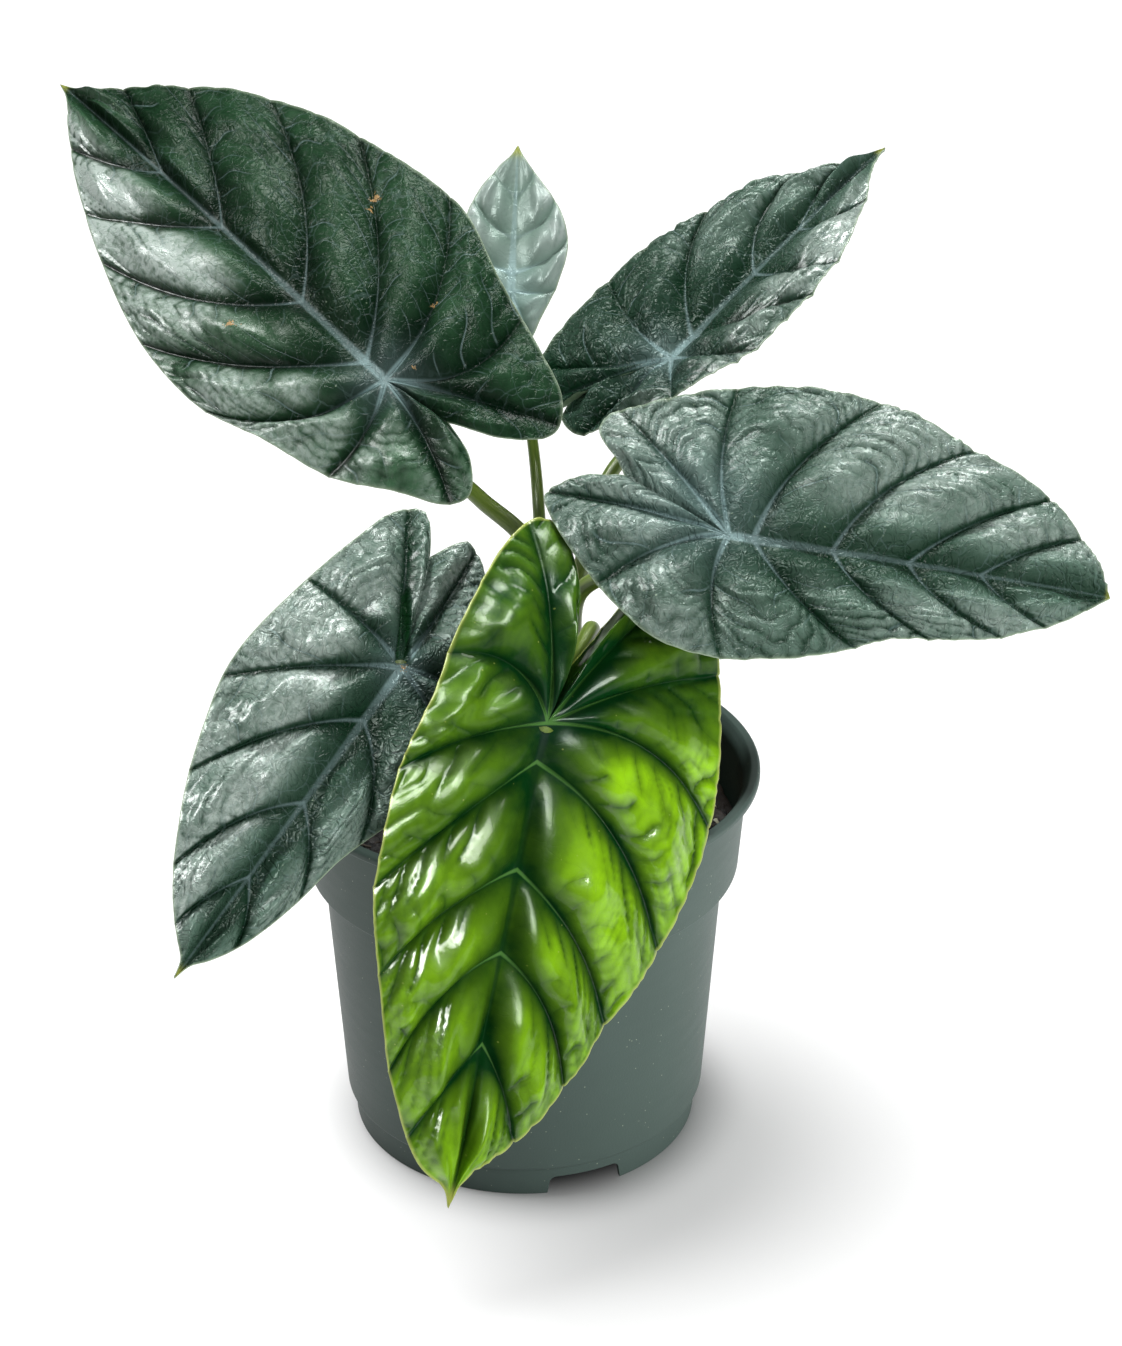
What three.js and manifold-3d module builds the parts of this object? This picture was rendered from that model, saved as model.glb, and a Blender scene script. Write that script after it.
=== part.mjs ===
// A potted alocasia with six quilted leaves, in millimetres, +Z up.
// It is laid out round the pot's axis, with the table at height zero, and the finished group is then moved
// so that the middle of the plant's bounding box on the table is the origin.
import * as THREE from 'three';
import { mergeVertices } from 'three/addons/utils/BufferGeometryUtils.js';
import Module from 'manifold-3d';

// Driving dimensions of the pot
const POT_HEIGHT = 140;
const RIM_RADIUS = 82.5;
const RIM_WIDTH = 4.1;
const LIP_HEIGHT = 3.3;
const COLLAR_TOP_RADIUS = 78.2;
const COLLAR_FOOT_RADIUS = 75.6;
const COLLAR_FOOT_HEIGHT = 103.3;
const BODY_TOP_RADIUS = 70.4;
const BODY_FOOT_RADIUS = 64.4;
const FOOT_RADIUS = 61.5;
const FOOT_HEIGHT = 11;
const WALL = 1.9;
const FLOOR_UNDERSIDE = 9;
const FLOOR_THICKNESS = 2.5;
const NOTCH_WIDTH = 26;
const NOTCH_HEIGHT = 7;
const NOTCH_CORNER = 2.5;
const NOTCH_COUNT = 3;
const FIRST_NOTCH_DEGREES = -70;
const DRAIN_HOLES = 6;
const DRAIN_HOLE_RADIUS = 5;
const DRAIN_HOLE_SIDES = 14;
const DRAIN_CIRCLE_RADIUS = 38;
const POT_SIDES = 48;
const EDGE_BEVEL = 0.8;
const FOOT_DRAFT = 0.3;
const FOOT_STEP_RISE = 1.4;
const COLLAR_STEP_RISE = 2.4;
const INNER_STEP_RISE = 4;
const FLOOR_FILLET = 1.5;
const CUTTER_LENGTH = 20;
const CUTTER_INSET = 12;
const CUTTER_OVERRUN = 2;

// Driving dimensions of the potting mix
const GAP = 0.3;
const SOIL_LEVEL = 117;
const SOIL_UNEVENNESS = 0.96;
const SOIL_SIDES = 36;
const SOIL_RINGS = [68, 60, 48, 36, 24, 12];
const SOIL_EDGE_SHARE = 0.4;
const SOIL_CORNER = [1.6, 2.5];
const BROAD_WAVE = [0.11, 0.13];
const FINE_WAVE = [0.23, -0.19];
const FINE_WAVE_SHARE = 0.6;
const MOUND_HEIGHT = 2.4;
const MOUND_RADIUS = 30;
const STEM_HOLE_DEPTH = 24;
const STEM_HOLE_ROOM = 4;
const PERLITE_COUNT = 34;
const PERLITE_SIZE = [1.3, 2.6];
const PERLITE_WIDTH = [0.75, 1];
const PERLITE_FLATNESS = [0.7, 0.95];
const PERLITE_RISE = 0.15;
const PERLITE_REACH = 68;
const BARK_COUNT = 18;
const BARK_LENGTH = [7, 15];
const BARK_WIDTH = [0.4, 0.65];
const BARK_THICKNESS = [3.5, 6];
const BARK_ROLL = [-0.4, 0.4];
const BARK_PITCH = [-0.3, 0.3];
const BARK_RISE = 0.3;
const BARK_REACH = 62;
const CROWN_MIDDLE = [6, 0];
const CROWN_RADIUS = 22;

// Driving dimensions of every blade
const BLADE_THICKNESS = 0.8;
const MIDRIB_DEPTH = 1.3;
const VEIN_DEPTH = 0.6;
const QUILT_HEIGHT = 5.2;
const QUILT_WIDTH = 9;
const CELLS_ACROSS_PANEL = 4;
const CELLS_ALONG_PANEL = 6;
const FULL_QUILT_REACH = 18;
const QUILT_ROUNDNESS = 0.8;
const QUILT_START = 0.15;
const QUILT_END = 0.72;
const QUILT_END_DROP = 0.75;
const SWELL = 0.28;
const SWELLS_ALONG_PANEL = 2.2;
const SWELL_SLANT = 1.6;
const SWELL_SHIFT = 0.37;
const CUP_SPAN = 50;
const FOLD_RADIUS = 6;
const BEND_SPAN = 100;
const CURVE_STEPS = 400;

// Driving dimensions of every petiole
const STEM_SIDES = 8;
const STEM_STEPS = 18;
const STEM_KNEE = 8;
const STEM_STRAIGHT = 6;
const SHEATH_END = [0.12, 0.5];
const SLIMMING = [0.4, 1];
const BLOCK_SIZE = 30;

const degrees = Math.PI / 180;

// Each blade is drawn flat: u runs from the petiole to the tip, v to the left of that, seen from above.
// left and right are the margin from tip to sinus. A vein is a point that it bends towards and its end on
// the margin, in one list. On each side the first veins leave the midrib at roots, and the rest leave it at
// the petiole.
// hub, heading, slope and roll place it; droop and lobeDroop bend it, in degrees for each 100 mm.
const LEAVES = [
  {
    name: 'upper_left', colour: 0x2c4637,
    hub: [-45.8, 30, 270.4], heading: 139.9, slope: 28, roll: -34, droop: 8,
    lobeDroop: 15, cup: -3, fold: 0,
    tip: 180, sinus: [-26, -5],
    left: [[163, 9], [140, 23], [107, 38], [72, 49], [41, 51], [14, 44], [-14, 36], [-33, 24],
      [-46, 16], [-50, 8], [-41, -1]],
    right: [[157, -16], [126, -41], [93, -55], [62, -61], [33, -64], [2, -54], [-26, -46], [-47, -38],
      [-53, -28], [-44, -15]],
    roots: [120, 86, 43, 10],
    leftVeins: [[134, 12, 153, 15], [105, 20, 128, 30], [62, 30, 107, 38], [36, 36, 72, 49],
      [2, 36, 36, 51], [-12, 14, -12, 37], [-24, 2, -46, 13]],
    rightVeins: [[138, -8, 160, -14], [104, -14, 141, -29], [66, -30, 115, -46], [30, -32, 80, -58],
      [2, -34, 39, -64], [-26, -18, -15, -50], [-24, -16, -50, -31]],
    foot: [-1, 7], stem: [[0, 6, 195], [2, 6, 220], [-14, 13, 234], [-33, 23, 249]],
    stemRadii: [4.7, 3.4, 2.4],
  },
  {
    name: 'back_small', colour: 0x6f8a7c,
    hub: [-3.2, 75, 285], heading: 85.8, slope: 50, roll: 0, droop: 10, lobeDroop: 15, cup: 0, fold: 0,
    tip: 55, sinus: [-10, 0],
    left: [[47, 7], [34, 14.5], [20, 18], [4, 18], [-9, 14], [-17, 9], [-17, 4]],
    right: [[43, -7], [30, -16], [17, -19], [3, -16], [-9, -11], [-17, -7], [-16, -3]],
    roots: [36, 20, 7],
    leftVeins: [[40, 6, 45, 8], [24, 10, 34, 14.5], [10, 14, 20, 18], [-2, 10, 1, 18], [-7, 4, -16, 9]],
    rightVeins: [[40, -6, 45, -6], [24, -12, 34, -13.5], [10, -14, 20, -18.5], [-2, -10, 1, -15.5],
      [-7, -3, -16, -7]],
    foot: [6, 14], stem: [[7, 18, 190], [6, 22, 224], [4, 42, 242], [0, 62, 261]],
    stemRadii: [3.4, 2.3, 1.6],
  },
  {
    name: 'upper_right', colour: 0x41574e,
    hub: [51.7, 45, 271.8], heading: 42.9, slope: 30, roll: 2, droop: 8, lobeDroop: 15, cup: 0, fold: 0.25,
    tip: 118, sinus: [-24, 16],
    left: [[102, 8], [82, 22], [64, 29], [38, 35], [14, 39], [-10, 39], [-27, 38], [-41, 35],
      [-46, 28], [-38, 21]],
    right: [[109, -3], [89, -16], [67, -28], [45, -33], [23, -34], [4, -29], [-10, -19], [-20, -9],
      [-31, 0], [-41, 10], [-39, 17], [-31, 18]],
    roots: [70, 45, 11],
    leftVeins: [[88, 7, 104, 7], [62, 18, 92, 16], [28, 22, 58, 30], [1, 22, 14, 39], [-16, 14, -27, 38],
      [-20, 14, -43, 33]],
    rightVeins: [[72, -12, 90, -16], [46, -18, 57, -31], [24, -18, 40, -34], [2, -14, 12, -32],
      [-8, -6, -15, -14], [-20, 2, -40, 8]],
    foot: [13, 8], stem: [[17, 11, 190], [29, 20, 237], [36, 25, 246]],
    stemRadii: [4.3, 3, 2.2],
  },
  {
    name: 'right', colour: 0x55685f,
    hub: [67, -38, 243.5], heading: -5.5, slope: -6, roll: 44, droop: 8, lobeDroop: 15, cup: -3, fold: 0,
    tip: 126.5, sinus: [-36, 17],
    left: [[118, 15], [103, 31], [77, 43], [45, 55], [2, 54], [-28, 44], [-44, 38], [-46, 31], [-39, 22]],
    right: [[110, -12], [86, -22], [57, -27], [27, -38], [1, -41], [-18, -38], [-33, -28], [-48, -13],
      [-58, 0], [-61, 8], [-51, 14]],
    roots: [83, 59, 34, 8],
    leftVeins: [[97, 12, 115, 18], [76, 18, 104, 30], [44, 26, 77, 43], [15, 30, 45, 55], [-9, 24, -3, 54],
      [-12, 14, -40, 39]],
    rightVeins: [[92, -10, 106, -14], [68, -14, 92, -20], [44, -16, 68, -25], [24, -22, 45, -31],
      [-8, -18, 2, -41], [-20, -2, -40, -21], [-26, 6, -59, 8]],
    foot: [16, -3], stem: [[17, -5, 180], [19, -6, 207], [30, -12, 218], [49, -22, 229]],
    stemRadii: [4.6, 3.2, 2.4],
  },
  {
    name: 'lower_left', colour: 0x4c6055,
    hub: [-39.4, -45, 199.7], heading: -128.6, slope: -30, roll: -42, droop: 10,
    lobeDroop: 12, cup: -3, fold: 0,
    tip: 126, sinus: [-38, -14],
    left: [[105, 11], [84, 17], [65, 20], [46, 26], [25, 33], [0, 34], [-22, 25], [-38, 10],
      [-49, -1], [-50, -7]],
    right: [[117, -5], [104, -17], [80, -31], [54, -41], [31, -46], [0, -43], [-28, -37], [-44, -32],
      [-50, -25]],
    roots: [86, 56, 22],
    leftVeins: [[96, 8, 107, 10], [66, 12, 82, 17], [34, 17, 56, 22], [6, 22, 22, 33], [-6, 16, -12, 31],
      [-20, 0, -48, -3]],
    rightVeins: [[98, -8, 112, -10], [70, -16, 97, -21], [36, -20, 70, -36], [14, -22, 38, -45],
      [-6, -20, -6, -42], [-20, -14, -48, -29]],
    foot: [-3, -5], stem: [[-8, -4, 150], [-24, 0, 176], [-40, -10, 186]],
    stemRadii: [4.7, 3.4, 2.3],
  },
  {
    name: 'front', colour: 0x6f9a1e,
    hub: [8.1, -65, 189.8], heading: -108.4, slope: -58, roll: -32, droop: 10,
    lobeDroop: 18, cup: -3, fold: 0,
    tip: 163.5, sinus: [-20, 5],
    left: [[150, 4], [138, 17], [118, 29], [94, 39], [73, 50], [48, 58], [26, 62], [-4, 60],
      [-30, 56], [-50, 48], [-58, 37], [-50, 25], [-34, 14]],
    right: [[149, -14], [120, -30], [95, -38], [66, -46], [38, -47], [15, -44], [-6, -38], [-26, -34],
      [-56, -22], [-66, -12], [-62, -3], [-50, 2], [-37, 4]],
    roots: [108, 77, 49, 13],
    leftVeins: [[118, 9, 138, 16], [88, 20, 117, 29], [66, 26, 95, 38], [28, 34, 68, 52], [-6, 40, 25, 62],
      [-18, 26, -26, 57], [-24, 12, -55, 42]],
    rightVeins: [[120, -10, 142, -19], [88, -22, 121, -30], [62, -26, 90, -40], [34, -26, 62, -46],
      [6, -26, 23, -46], [-24, -12, -17, -36], [-38, -2, -64, -15]],
    foot: [8, -10], stem: [[14, -13, 165], [20, -17, 190], [23, -26, 204], [19, -40, 204], [11, -52, 194]],
    stemRadii: [4.6, 3.3, 2.4],
  },
];

const wasm = await Module();
wasm.setup();

function solidFrom(geometry) {
  const bare = geometry.index ? geometry.toNonIndexed() : geometry.clone();
  bare.deleteAttribute('normal');
  bare.deleteAttribute('uv');
  const welded = mergeVertices(bare, 1e-4);
  return new wasm.Manifold(new wasm.Mesh({
    numProp: 3,
    vertProperties: new Float32Array(welded.attributes.position.array),
    triVerts: new Uint32Array(welded.index.array),
  }));
}

function geometryFrom(solid) {
  const mesh = solid.getMesh();
  const geometry = new THREE.BufferGeometry();
  const positions = new Float32Array(mesh.numVert * 3);
  for (let i = 0; i < mesh.numVert; i += 1) {
    for (let axis = 0; axis < 3; axis += 1) {
      positions[3 * i + axis] = mesh.vertProperties[i * mesh.numProp + axis];
    }
  }
  geometry.setAttribute('position', new THREE.BufferAttribute(positions, 3));
  geometry.setIndex(Array.from(mesh.triVerts));
  geometry.computeVertexNormals();
  return geometry;
}

function namedMesh(name, geometry, material) {
  const mesh = new THREE.Mesh(geometry, material);
  mesh.name = name;
  return mesh;
}

// A repeatable stream of numbers from 0 to 1
function seededRandom(seed) {
  let state = seed;
  return () => {
    state = (state * 16807) % 2147483647;
    return state / 2147483647;
  };
}

function between(random, [low, high]) {
  return low + (high - low) * random();
}

// Turns a profile of [radius, height] pairs about the vertical axis
function turned(profile, sides) {
  const points = profile.map(([radius, height]) => new THREE.Vector2(radius, height));
  const geometry = new THREE.LatheGeometry(points, sides);
  geometry.rotateX(Math.PI / 2);
  return geometry;
}

function potProfile() {
  const inner = RIM_RADIUS - RIM_WIDTH;
  const floorTop = FLOOR_UNDERSIDE + FLOOR_THICKNESS;
  const lipFoot = POT_HEIGHT - LIP_HEIGHT;
  return [
    [0, FLOOR_UNDERSIDE],
    [FOOT_RADIUS - WALL, FLOOR_UNDERSIDE],
    [FOOT_RADIUS - WALL, 0],
    [FOOT_RADIUS, 0],
    [FOOT_RADIUS + FOOT_DRAFT, FOOT_HEIGHT],
    [BODY_FOOT_RADIUS, FOOT_HEIGHT + FOOT_STEP_RISE],
    [BODY_TOP_RADIUS, COLLAR_FOOT_HEIGHT - COLLAR_STEP_RISE],
    [COLLAR_FOOT_RADIUS - EDGE_BEVEL, COLLAR_FOOT_HEIGHT - EDGE_BEVEL],
    [COLLAR_FOOT_RADIUS, COLLAR_FOOT_HEIGHT],
    [COLLAR_TOP_RADIUS, lipFoot - EDGE_BEVEL],
    [RIM_RADIUS - EDGE_BEVEL, lipFoot],
    [RIM_RADIUS, lipFoot + EDGE_BEVEL],
    [RIM_RADIUS, POT_HEIGHT - EDGE_BEVEL],
    [RIM_RADIUS - EDGE_BEVEL, POT_HEIGHT],
    [inner + EDGE_BEVEL, POT_HEIGHT],
    [inner, POT_HEIGHT - EDGE_BEVEL],
    [COLLAR_TOP_RADIUS - WALL, lipFoot - 2 * EDGE_BEVEL],
    [COLLAR_FOOT_RADIUS - WALL, COLLAR_FOOT_HEIGHT - COLLAR_STEP_RISE + INNER_STEP_RISE],
    [BODY_TOP_RADIUS - WALL, COLLAR_FOOT_HEIGHT - COLLAR_STEP_RISE],
    [BODY_FOOT_RADIUS - WALL, floorTop + FLOOR_FILLET],
    [BODY_FOOT_RADIUS - WALL - FLOOR_FILLET, floorTop],
    [0, floorTop],
  ];
}

// One drain notch: a wide arch with rounded upper corners, cut through the foot ring
function notchCutter(angle) {
  const half = NOTCH_WIDTH / 2;
  const shape = new THREE.Shape();
  shape.moveTo(-half, -CUTTER_OVERRUN);
  shape.lineTo(half, -CUTTER_OVERRUN);
  const arcX = half - NOTCH_CORNER;
  const arcY = NOTCH_HEIGHT - NOTCH_CORNER;
  shape.absarc(arcX, arcY, NOTCH_CORNER, 0, Math.PI / 2, false);
  shape.absarc(-arcX, arcY, NOTCH_CORNER, Math.PI / 2, Math.PI, false);
  shape.closePath();
  const options = { depth: CUTTER_LENGTH, bevelEnabled: false, curveSegments: 3 };
  const geometry = new THREE.ExtrudeGeometry(shape, options);
  geometry.rotateX(Math.PI / 2);
  geometry.translate(0, -FOOT_RADIUS + CUTTER_INSET, 0);
  geometry.rotateZ(angle + Math.PI / 2);
  return solidFrom(geometry);
}

function drainCutter(angle) {
  const length = FLOOR_THICKNESS + 2 * CUTTER_OVERRUN;
  const radius = DRAIN_HOLE_RADIUS;
  const geometry = new THREE.CylinderGeometry(radius, radius, length, DRAIN_HOLE_SIDES);
  geometry.rotateX(Math.PI / 2);
  geometry.translate(DRAIN_CIRCLE_RADIUS, 0, FLOOR_UNDERSIDE + FLOOR_THICKNESS / 2);
  geometry.rotateZ(angle);
  return solidFrom(geometry);
}

function makePot() {
  let pot = solidFrom(turned(potProfile(), POT_SIDES));
  for (let i = 0; i < NOTCH_COUNT; i += 1) {
    const angle = (FIRST_NOTCH_DEGREES + (i * 360) / NOTCH_COUNT) * degrees;
    pot = pot.subtract(notchCutter(angle));
  }
  for (let i = 0; i < DRAIN_HOLES; i += 1) {
    pot = pot.subtract(drainCutter((i * 2 * Math.PI) / DRAIN_HOLES));
  }
  const plastic = new THREE.MeshStandardMaterial({ color: 0x3e524e, roughness: 0.5, metalness: 0 });
  return namedMesh('pot', geometryFrom(pot), plastic);
}

// The margin on one side, as a smooth curve from the tip to the sinus
function marginCurve(leaf, side) {
  const points = [[leaf.tip, 0], ...leaf[side], leaf.sinus].map(([u, v]) => new THREE.Vector3(u, v, 0));
  return new THREE.CatmullRomCurve3(points, false, 'centripetal');
}

function nearestOnCurve(curve, u, v) {
  const target = new THREE.Vector3(u, v, 0);
  let best = 0;
  let bestDistance = Infinity;
  for (let i = 0; i <= CURVE_STEPS; i += 1) {
    const distance = curve.getPointAt(i / CURVE_STEPS).distanceTo(target);
    if (distance < bestDistance) {
      bestDistance = distance;
      best = i / CURVE_STEPS;
    }
  }
  return best;
}

// The veins of one side from the tip to the sinus, each with the place where it meets the margin.
// The first is the tip itself and the last is the line from the petiole to the bottom of the sinus.
function sideVeins(leaf, side, margin) {
  const list = leaf[`${side}Veins`].map(([bendU, bendV, endU, endV], i) => {
    const root = leaf.roots[i] ?? 0;
    const at = nearestOnCurve(margin, endU, endV);
    const start = new THREE.Vector3(root, 0, 0);
    const bend = new THREE.Vector3(bendU, bendV, 0);
    return { root, at, curve: new THREE.QuadraticBezierCurve3(start, bend, margin.getPointAt(at)) };
  });
  const tip = new THREE.Vector3(leaf.tip, 0, 0);
  const sinus = new THREE.Vector3(...leaf.sinus, 0);
  const hub = new THREE.Vector3(0, 0, 0);
  list.unshift({ root: leaf.tip, at: 0, curve: new THREE.LineCurve3(tip, tip.clone()) });
  list.push({ root: 0, at: 1, curve: new THREE.LineCurve3(hub, sinus) });
  return list;
}

// A point of the panel between two veins: across runs from vein to vein, along from midrib to margin
function panelPoint(first, second, margin, across, along) {
  const a = first.curve.getPoint(along);
  const b = second.curve.getPoint(along);
  const point = a.clone().lerp(b, across);
  const width = a.distanceTo(b);
  const chord = first.curve.getPoint(1).lerp(second.curve.getPoint(1), across);
  const edge = margin.getPointAt(first.at + (second.at - first.at) * across);
  const root = THREE.MathUtils.lerp(first.root, second.root, across);
  const reach = Math.hypot(edge.x - root, edge.y);
  point.add(edge.sub(chord).multiplyScalar(along));
  return { u: point.x, v: point.y, width, reach };
}

// How high the blade is quilted up between two veins: less where they run together or the margin is near
function quiltLift(width, reach, across, along, shift) {
  const dome = Math.min(1, reach / FULL_QUILT_REACH) * Math.sin(Math.PI * across) ** QUILT_ROUNDNESS;
  const start = Math.min(1, along / QUILT_START);
  const fade = start * (1 - QUILT_END_DROP * THREE.MathUtils.smoothstep(along, QUILT_END, 1));
  const wave = 2 * Math.PI * (SWELLS_ALONG_PANEL * along + shift) + SWELL_SLANT * across;
  const swell = 1 + SWELL * Math.sin(wave);
  return QUILT_HEIGHT * (width / (width + QUILT_WIDTH)) * dome * fade * swell;
}

// Bends the flat blade and sets it in place. In at, lift is the height over the blade's middle surface.
function bladeSurface(leaf) {
  const heading = leaf.heading * degrees;
  const slope = leaf.slope * degrees;
  const roll = leaf.roll * degrees;
  const along = new THREE.Vector3(
    Math.cos(heading) * Math.cos(slope), Math.sin(heading) * Math.cos(slope), Math.sin(slope),
  );
  const level = new THREE.Vector3(-Math.sin(heading), Math.cos(heading), 0);
  const up = along.clone().cross(level);
  const side = level.clone().multiplyScalar(Math.cos(roll)).addScaledVector(up, Math.sin(roll));
  const normal = up.clone().multiplyScalar(Math.cos(roll)).addScaledVector(level, -Math.sin(roll));
  const hub = new THREE.Vector3(...leaf.hub);
  const at = (u, v, lift) => {
    const bend = ((u > 0 ? leaf.droop : leaf.lobeDroop) * degrees) / BEND_SPAN;
    const angle = bend * u;
    const fold = leaf.fold * (Math.hypot(v, FOLD_RADIUS) - FOLD_RADIUS);
    const rise = leaf.cup * (v / CUP_SPAN) ** 2 + fold + lift;
    const outward = normal.clone().multiplyScalar(Math.cos(angle)).addScaledVector(along, Math.sin(angle));
    return hub.clone()
      .addScaledVector(along, Math.sin(angle) / bend)
      .addScaledVector(normal, -(1 - Math.cos(angle)) / bend)
      .addScaledVector(side, v)
      .addScaledVector(outward, rise);
  };
  return { at, normal, hub };
}

// The flat net of a blade: its points with their lift and depth, its cells, and the ring of its margin
function bladeNet(leaf) {
  const points = [];
  const places = new Map();
  const cells = [];
  const ring = [];
  const place = (u, v, lift, depth) => {
    const key = `${u.toFixed(3)},${v.toFixed(3)}`;
    if (!places.has(key)) {
      places.set(key, points.length);
      points.push({ u, v, lift, depth });
    }
    return places.get(key);
  };
  for (const side of ['left', 'right']) {
    const margin = marginCurve(leaf, side);
    const veins = sideVeins(leaf, side, margin);
    const sideRing = [];
    for (let p = 0; p + 1 < veins.length; p += 1) {
      const grid = [];
      for (let j = 0; j <= CELLS_ALONG_PANEL; j += 1) {
        const row = [];
        for (let i = 0; i <= CELLS_ACROSS_PANEL; i += 1) {
          const across = i / CELLS_ACROSS_PANEL;
          const along = j / CELLS_ALONG_PANEL;
          const { u, v, width, reach } = panelPoint(veins[p], veins[p + 1], margin, across, along);
          const shift = SWELL_SHIFT * p + (side === 'left' ? 0 : 0.5);
          const onVein = i === 0 || i === CELLS_ACROSS_PANEL;
          const lift = onVein || j === 0 ? 0 : quiltLift(width, reach, across, along, shift);
          const vein = onVein && j < CELLS_ALONG_PANEL ? VEIN_DEPTH * (1 - along) : 0;
          const midrib = MIDRIB_DEPTH * (1 - Math.max(0, u) / leaf.tip);
          const depth = BLADE_THICKNESS + (j === 0 ? midrib : vein);
          row.push(place(u, v, lift, depth));
        }
        grid.push(row);
      }
      sideRing.push(...grid[CELLS_ALONG_PANEL]);
      for (let j = 0; j < CELLS_ALONG_PANEL; j += 1) {
        for (let i = 0; i < CELLS_ACROSS_PANEL; i += 1) {
          const cell = [grid[j][i], grid[j][i + 1], grid[j + 1][i + 1], grid[j + 1][i]];
          cells.push(side === 'left' ? cell.reverse() : cell);
        }
      }
    }
    ring.push(...(side === 'left' ? sideRing : sideRing.reverse()));
  }
  return { points, cells, ring: ring.filter((value, i) => value !== ring[(i + 1) % ring.length]) };
}

// Both faces and the edge of a blade; every cell is split the same way on both faces
function makeBlade(leaf) {
  const { points, cells, ring } = bladeNet(leaf);
  const { at } = bladeSurface(leaf);
  const count = points.length;
  const positions = [];
  for (const { u, v, lift } of points) positions.push(...at(u, v, lift).toArray());
  for (const { u, v, lift, depth } of points) positions.push(...at(u, v, lift - depth).toArray());
  const triangles = [];
  const addTriangle = (a, b, c) => {
    if (a === b || b === c || c === a) return;
    triangles.push(a, b, c, a + count, c + count, b + count);
  };
  const apart = (a, b) => Math.hypot(points[a].u - points[b].u, points[a].v - points[b].v);
  for (const [a, b, c, d] of cells) {
    if (apart(a, c) <= apart(b, d)) {
      addTriangle(a, b, c);
      addTriangle(a, c, d);
    } else {
      addTriangle(a, b, d);
      addTriangle(b, c, d);
    }
  }
  ring.forEach((a, i) => {
    const b = ring[(i + 1) % ring.length];
    triangles.push(a, a + count, b + count, a, b + count, b);
  });
  const geometry = new THREE.BufferGeometry();
  geometry.setAttribute('position', new THREE.Float32BufferAttribute(positions, 3));
  geometry.setIndex(triangles);
  geometry.computeVertexNormals();
  const surface = new THREE.MeshStandardMaterial({ color: leaf.colour, roughness: 0.35, metalness: 0 });
  return namedMesh(`leaf_${leaf.name}`, geometry, surface);
}

// The petiole's path: straight up out of the mix, over to its blade, and square on to the blade at the knee
function stemPath(leaf) {
  const { normal, hub } = bladeSurface(leaf);
  const points = [
    new THREE.Vector3(...leaf.foot, SOIL_LEVEL - STEM_HOLE_DEPTH),
    new THREE.Vector3(...leaf.foot, SOIL_LEVEL + STEM_STRAIGHT),
    ...leaf.stem.map((point) => new THREE.Vector3(...point)),
    hub.clone().addScaledVector(normal, -STEM_KNEE),
    hub,
  ];
  return new THREE.CatmullRomCurve3(points, false, 'centripetal');
}

// A petiole is widest at its sheath, just over the mix, and slim under the blade
function stemRadius(leaf, t) {
  const [foot, middle, top] = leaf.stemRadii;
  const sheath = THREE.MathUtils.smoothstep(t, ...SHEATH_END);
  const slim = THREE.MathUtils.smoothstep(t, ...SLIMMING);
  return foot + (middle - foot) * sheath + (top - middle) * slim;
}

// A round tapering stem along a petiole's path, grown by extra all round, with flat ends
function stemGeometry(leaf, extra) {
  const path = stemPath(leaf);
  const frames = path.computeFrenetFrames(STEM_STEPS, false);
  const positions = [];
  const triangles = [];
  for (let i = 0; i <= STEM_STEPS; i += 1) {
    const t = i / STEM_STEPS;
    const centre = path.getPointAt(t);
    const radius = stemRadius(leaf, t) + extra;
    for (let k = 0; k < STEM_SIDES; k += 1) {
      const turn = (k / STEM_SIDES) * 2 * Math.PI;
      const spoke = frames.normals[i].clone().multiplyScalar(Math.cos(turn) * radius)
        .addScaledVector(frames.binormals[i], Math.sin(turn) * radius);
      positions.push(...centre.clone().add(spoke).toArray());
    }
  }
  for (let i = 0; i < STEM_STEPS; i += 1) {
    for (let k = 0; k < STEM_SIDES; k += 1) {
      const a = i * STEM_SIDES + k;
      const b = i * STEM_SIDES + ((k + 1) % STEM_SIDES);
      triangles.push(a, b, b + STEM_SIDES, a, b + STEM_SIDES, a + STEM_SIDES);
    }
  }
  const last = STEM_STEPS * STEM_SIDES;
  for (let k = 1; k + 1 < STEM_SIDES; k += 1) {
    triangles.push(0, k + 1, k, last, last + k, last + k + 1);
  }
  const geometry = new THREE.BufferGeometry();
  geometry.setAttribute('position', new THREE.Float32BufferAttribute(positions, 3));
  geometry.setIndex(triangles);
  return geometry;
}

// The block over a blade's underside at its petiole, which the petiole's top is cut off by
function bladeBlock(leaf) {
  const { normal, hub } = bladeSurface(leaf);
  const block = new THREE.Mesh(new THREE.BoxGeometry(BLOCK_SIZE, BLOCK_SIZE, BLOCK_SIZE));
  block.quaternion.setFromUnitVectors(new THREE.Vector3(0, 0, 1), normal);
  block.position.copy(hub).addScaledVector(normal, BLOCK_SIZE / 2 - BLADE_THICKNESS - MIDRIB_DEPTH - GAP);
  block.updateMatrixWorld(true);
  return solidFrom(block.geometry.applyMatrix4(block.matrixWorld));
}

function makePetiole(leaf) {
  const petiole = solidFrom(stemGeometry(leaf, 0)).subtract(bladeBlock(leaf));
  const skin = new THREE.MeshStandardMaterial({ color: 0x5a7a24, roughness: 0.5, metalness: 0 });
  return namedMesh(`petiole_${leaf.name}`, geometryFrom(petiole), skin);
}

// The hole that a petiole stands in: the petiole itself, grown by the gap, and a little room under its end
function stemHole(leaf) {
  const radius = leaf.stemRadii[0] + GAP;
  const below = new THREE.CylinderGeometry(radius, radius, STEM_HOLE_ROOM, STEM_SIDES);
  below.rotateX(Math.PI / 2);
  below.translate(...leaf.foot, SOIL_LEVEL - STEM_HOLE_DEPTH + STEM_HOLE_ROOM / 2 - GAP);
  return solidFrom(stemGeometry(leaf, GAP)).add(solidFrom(below));
}

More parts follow.
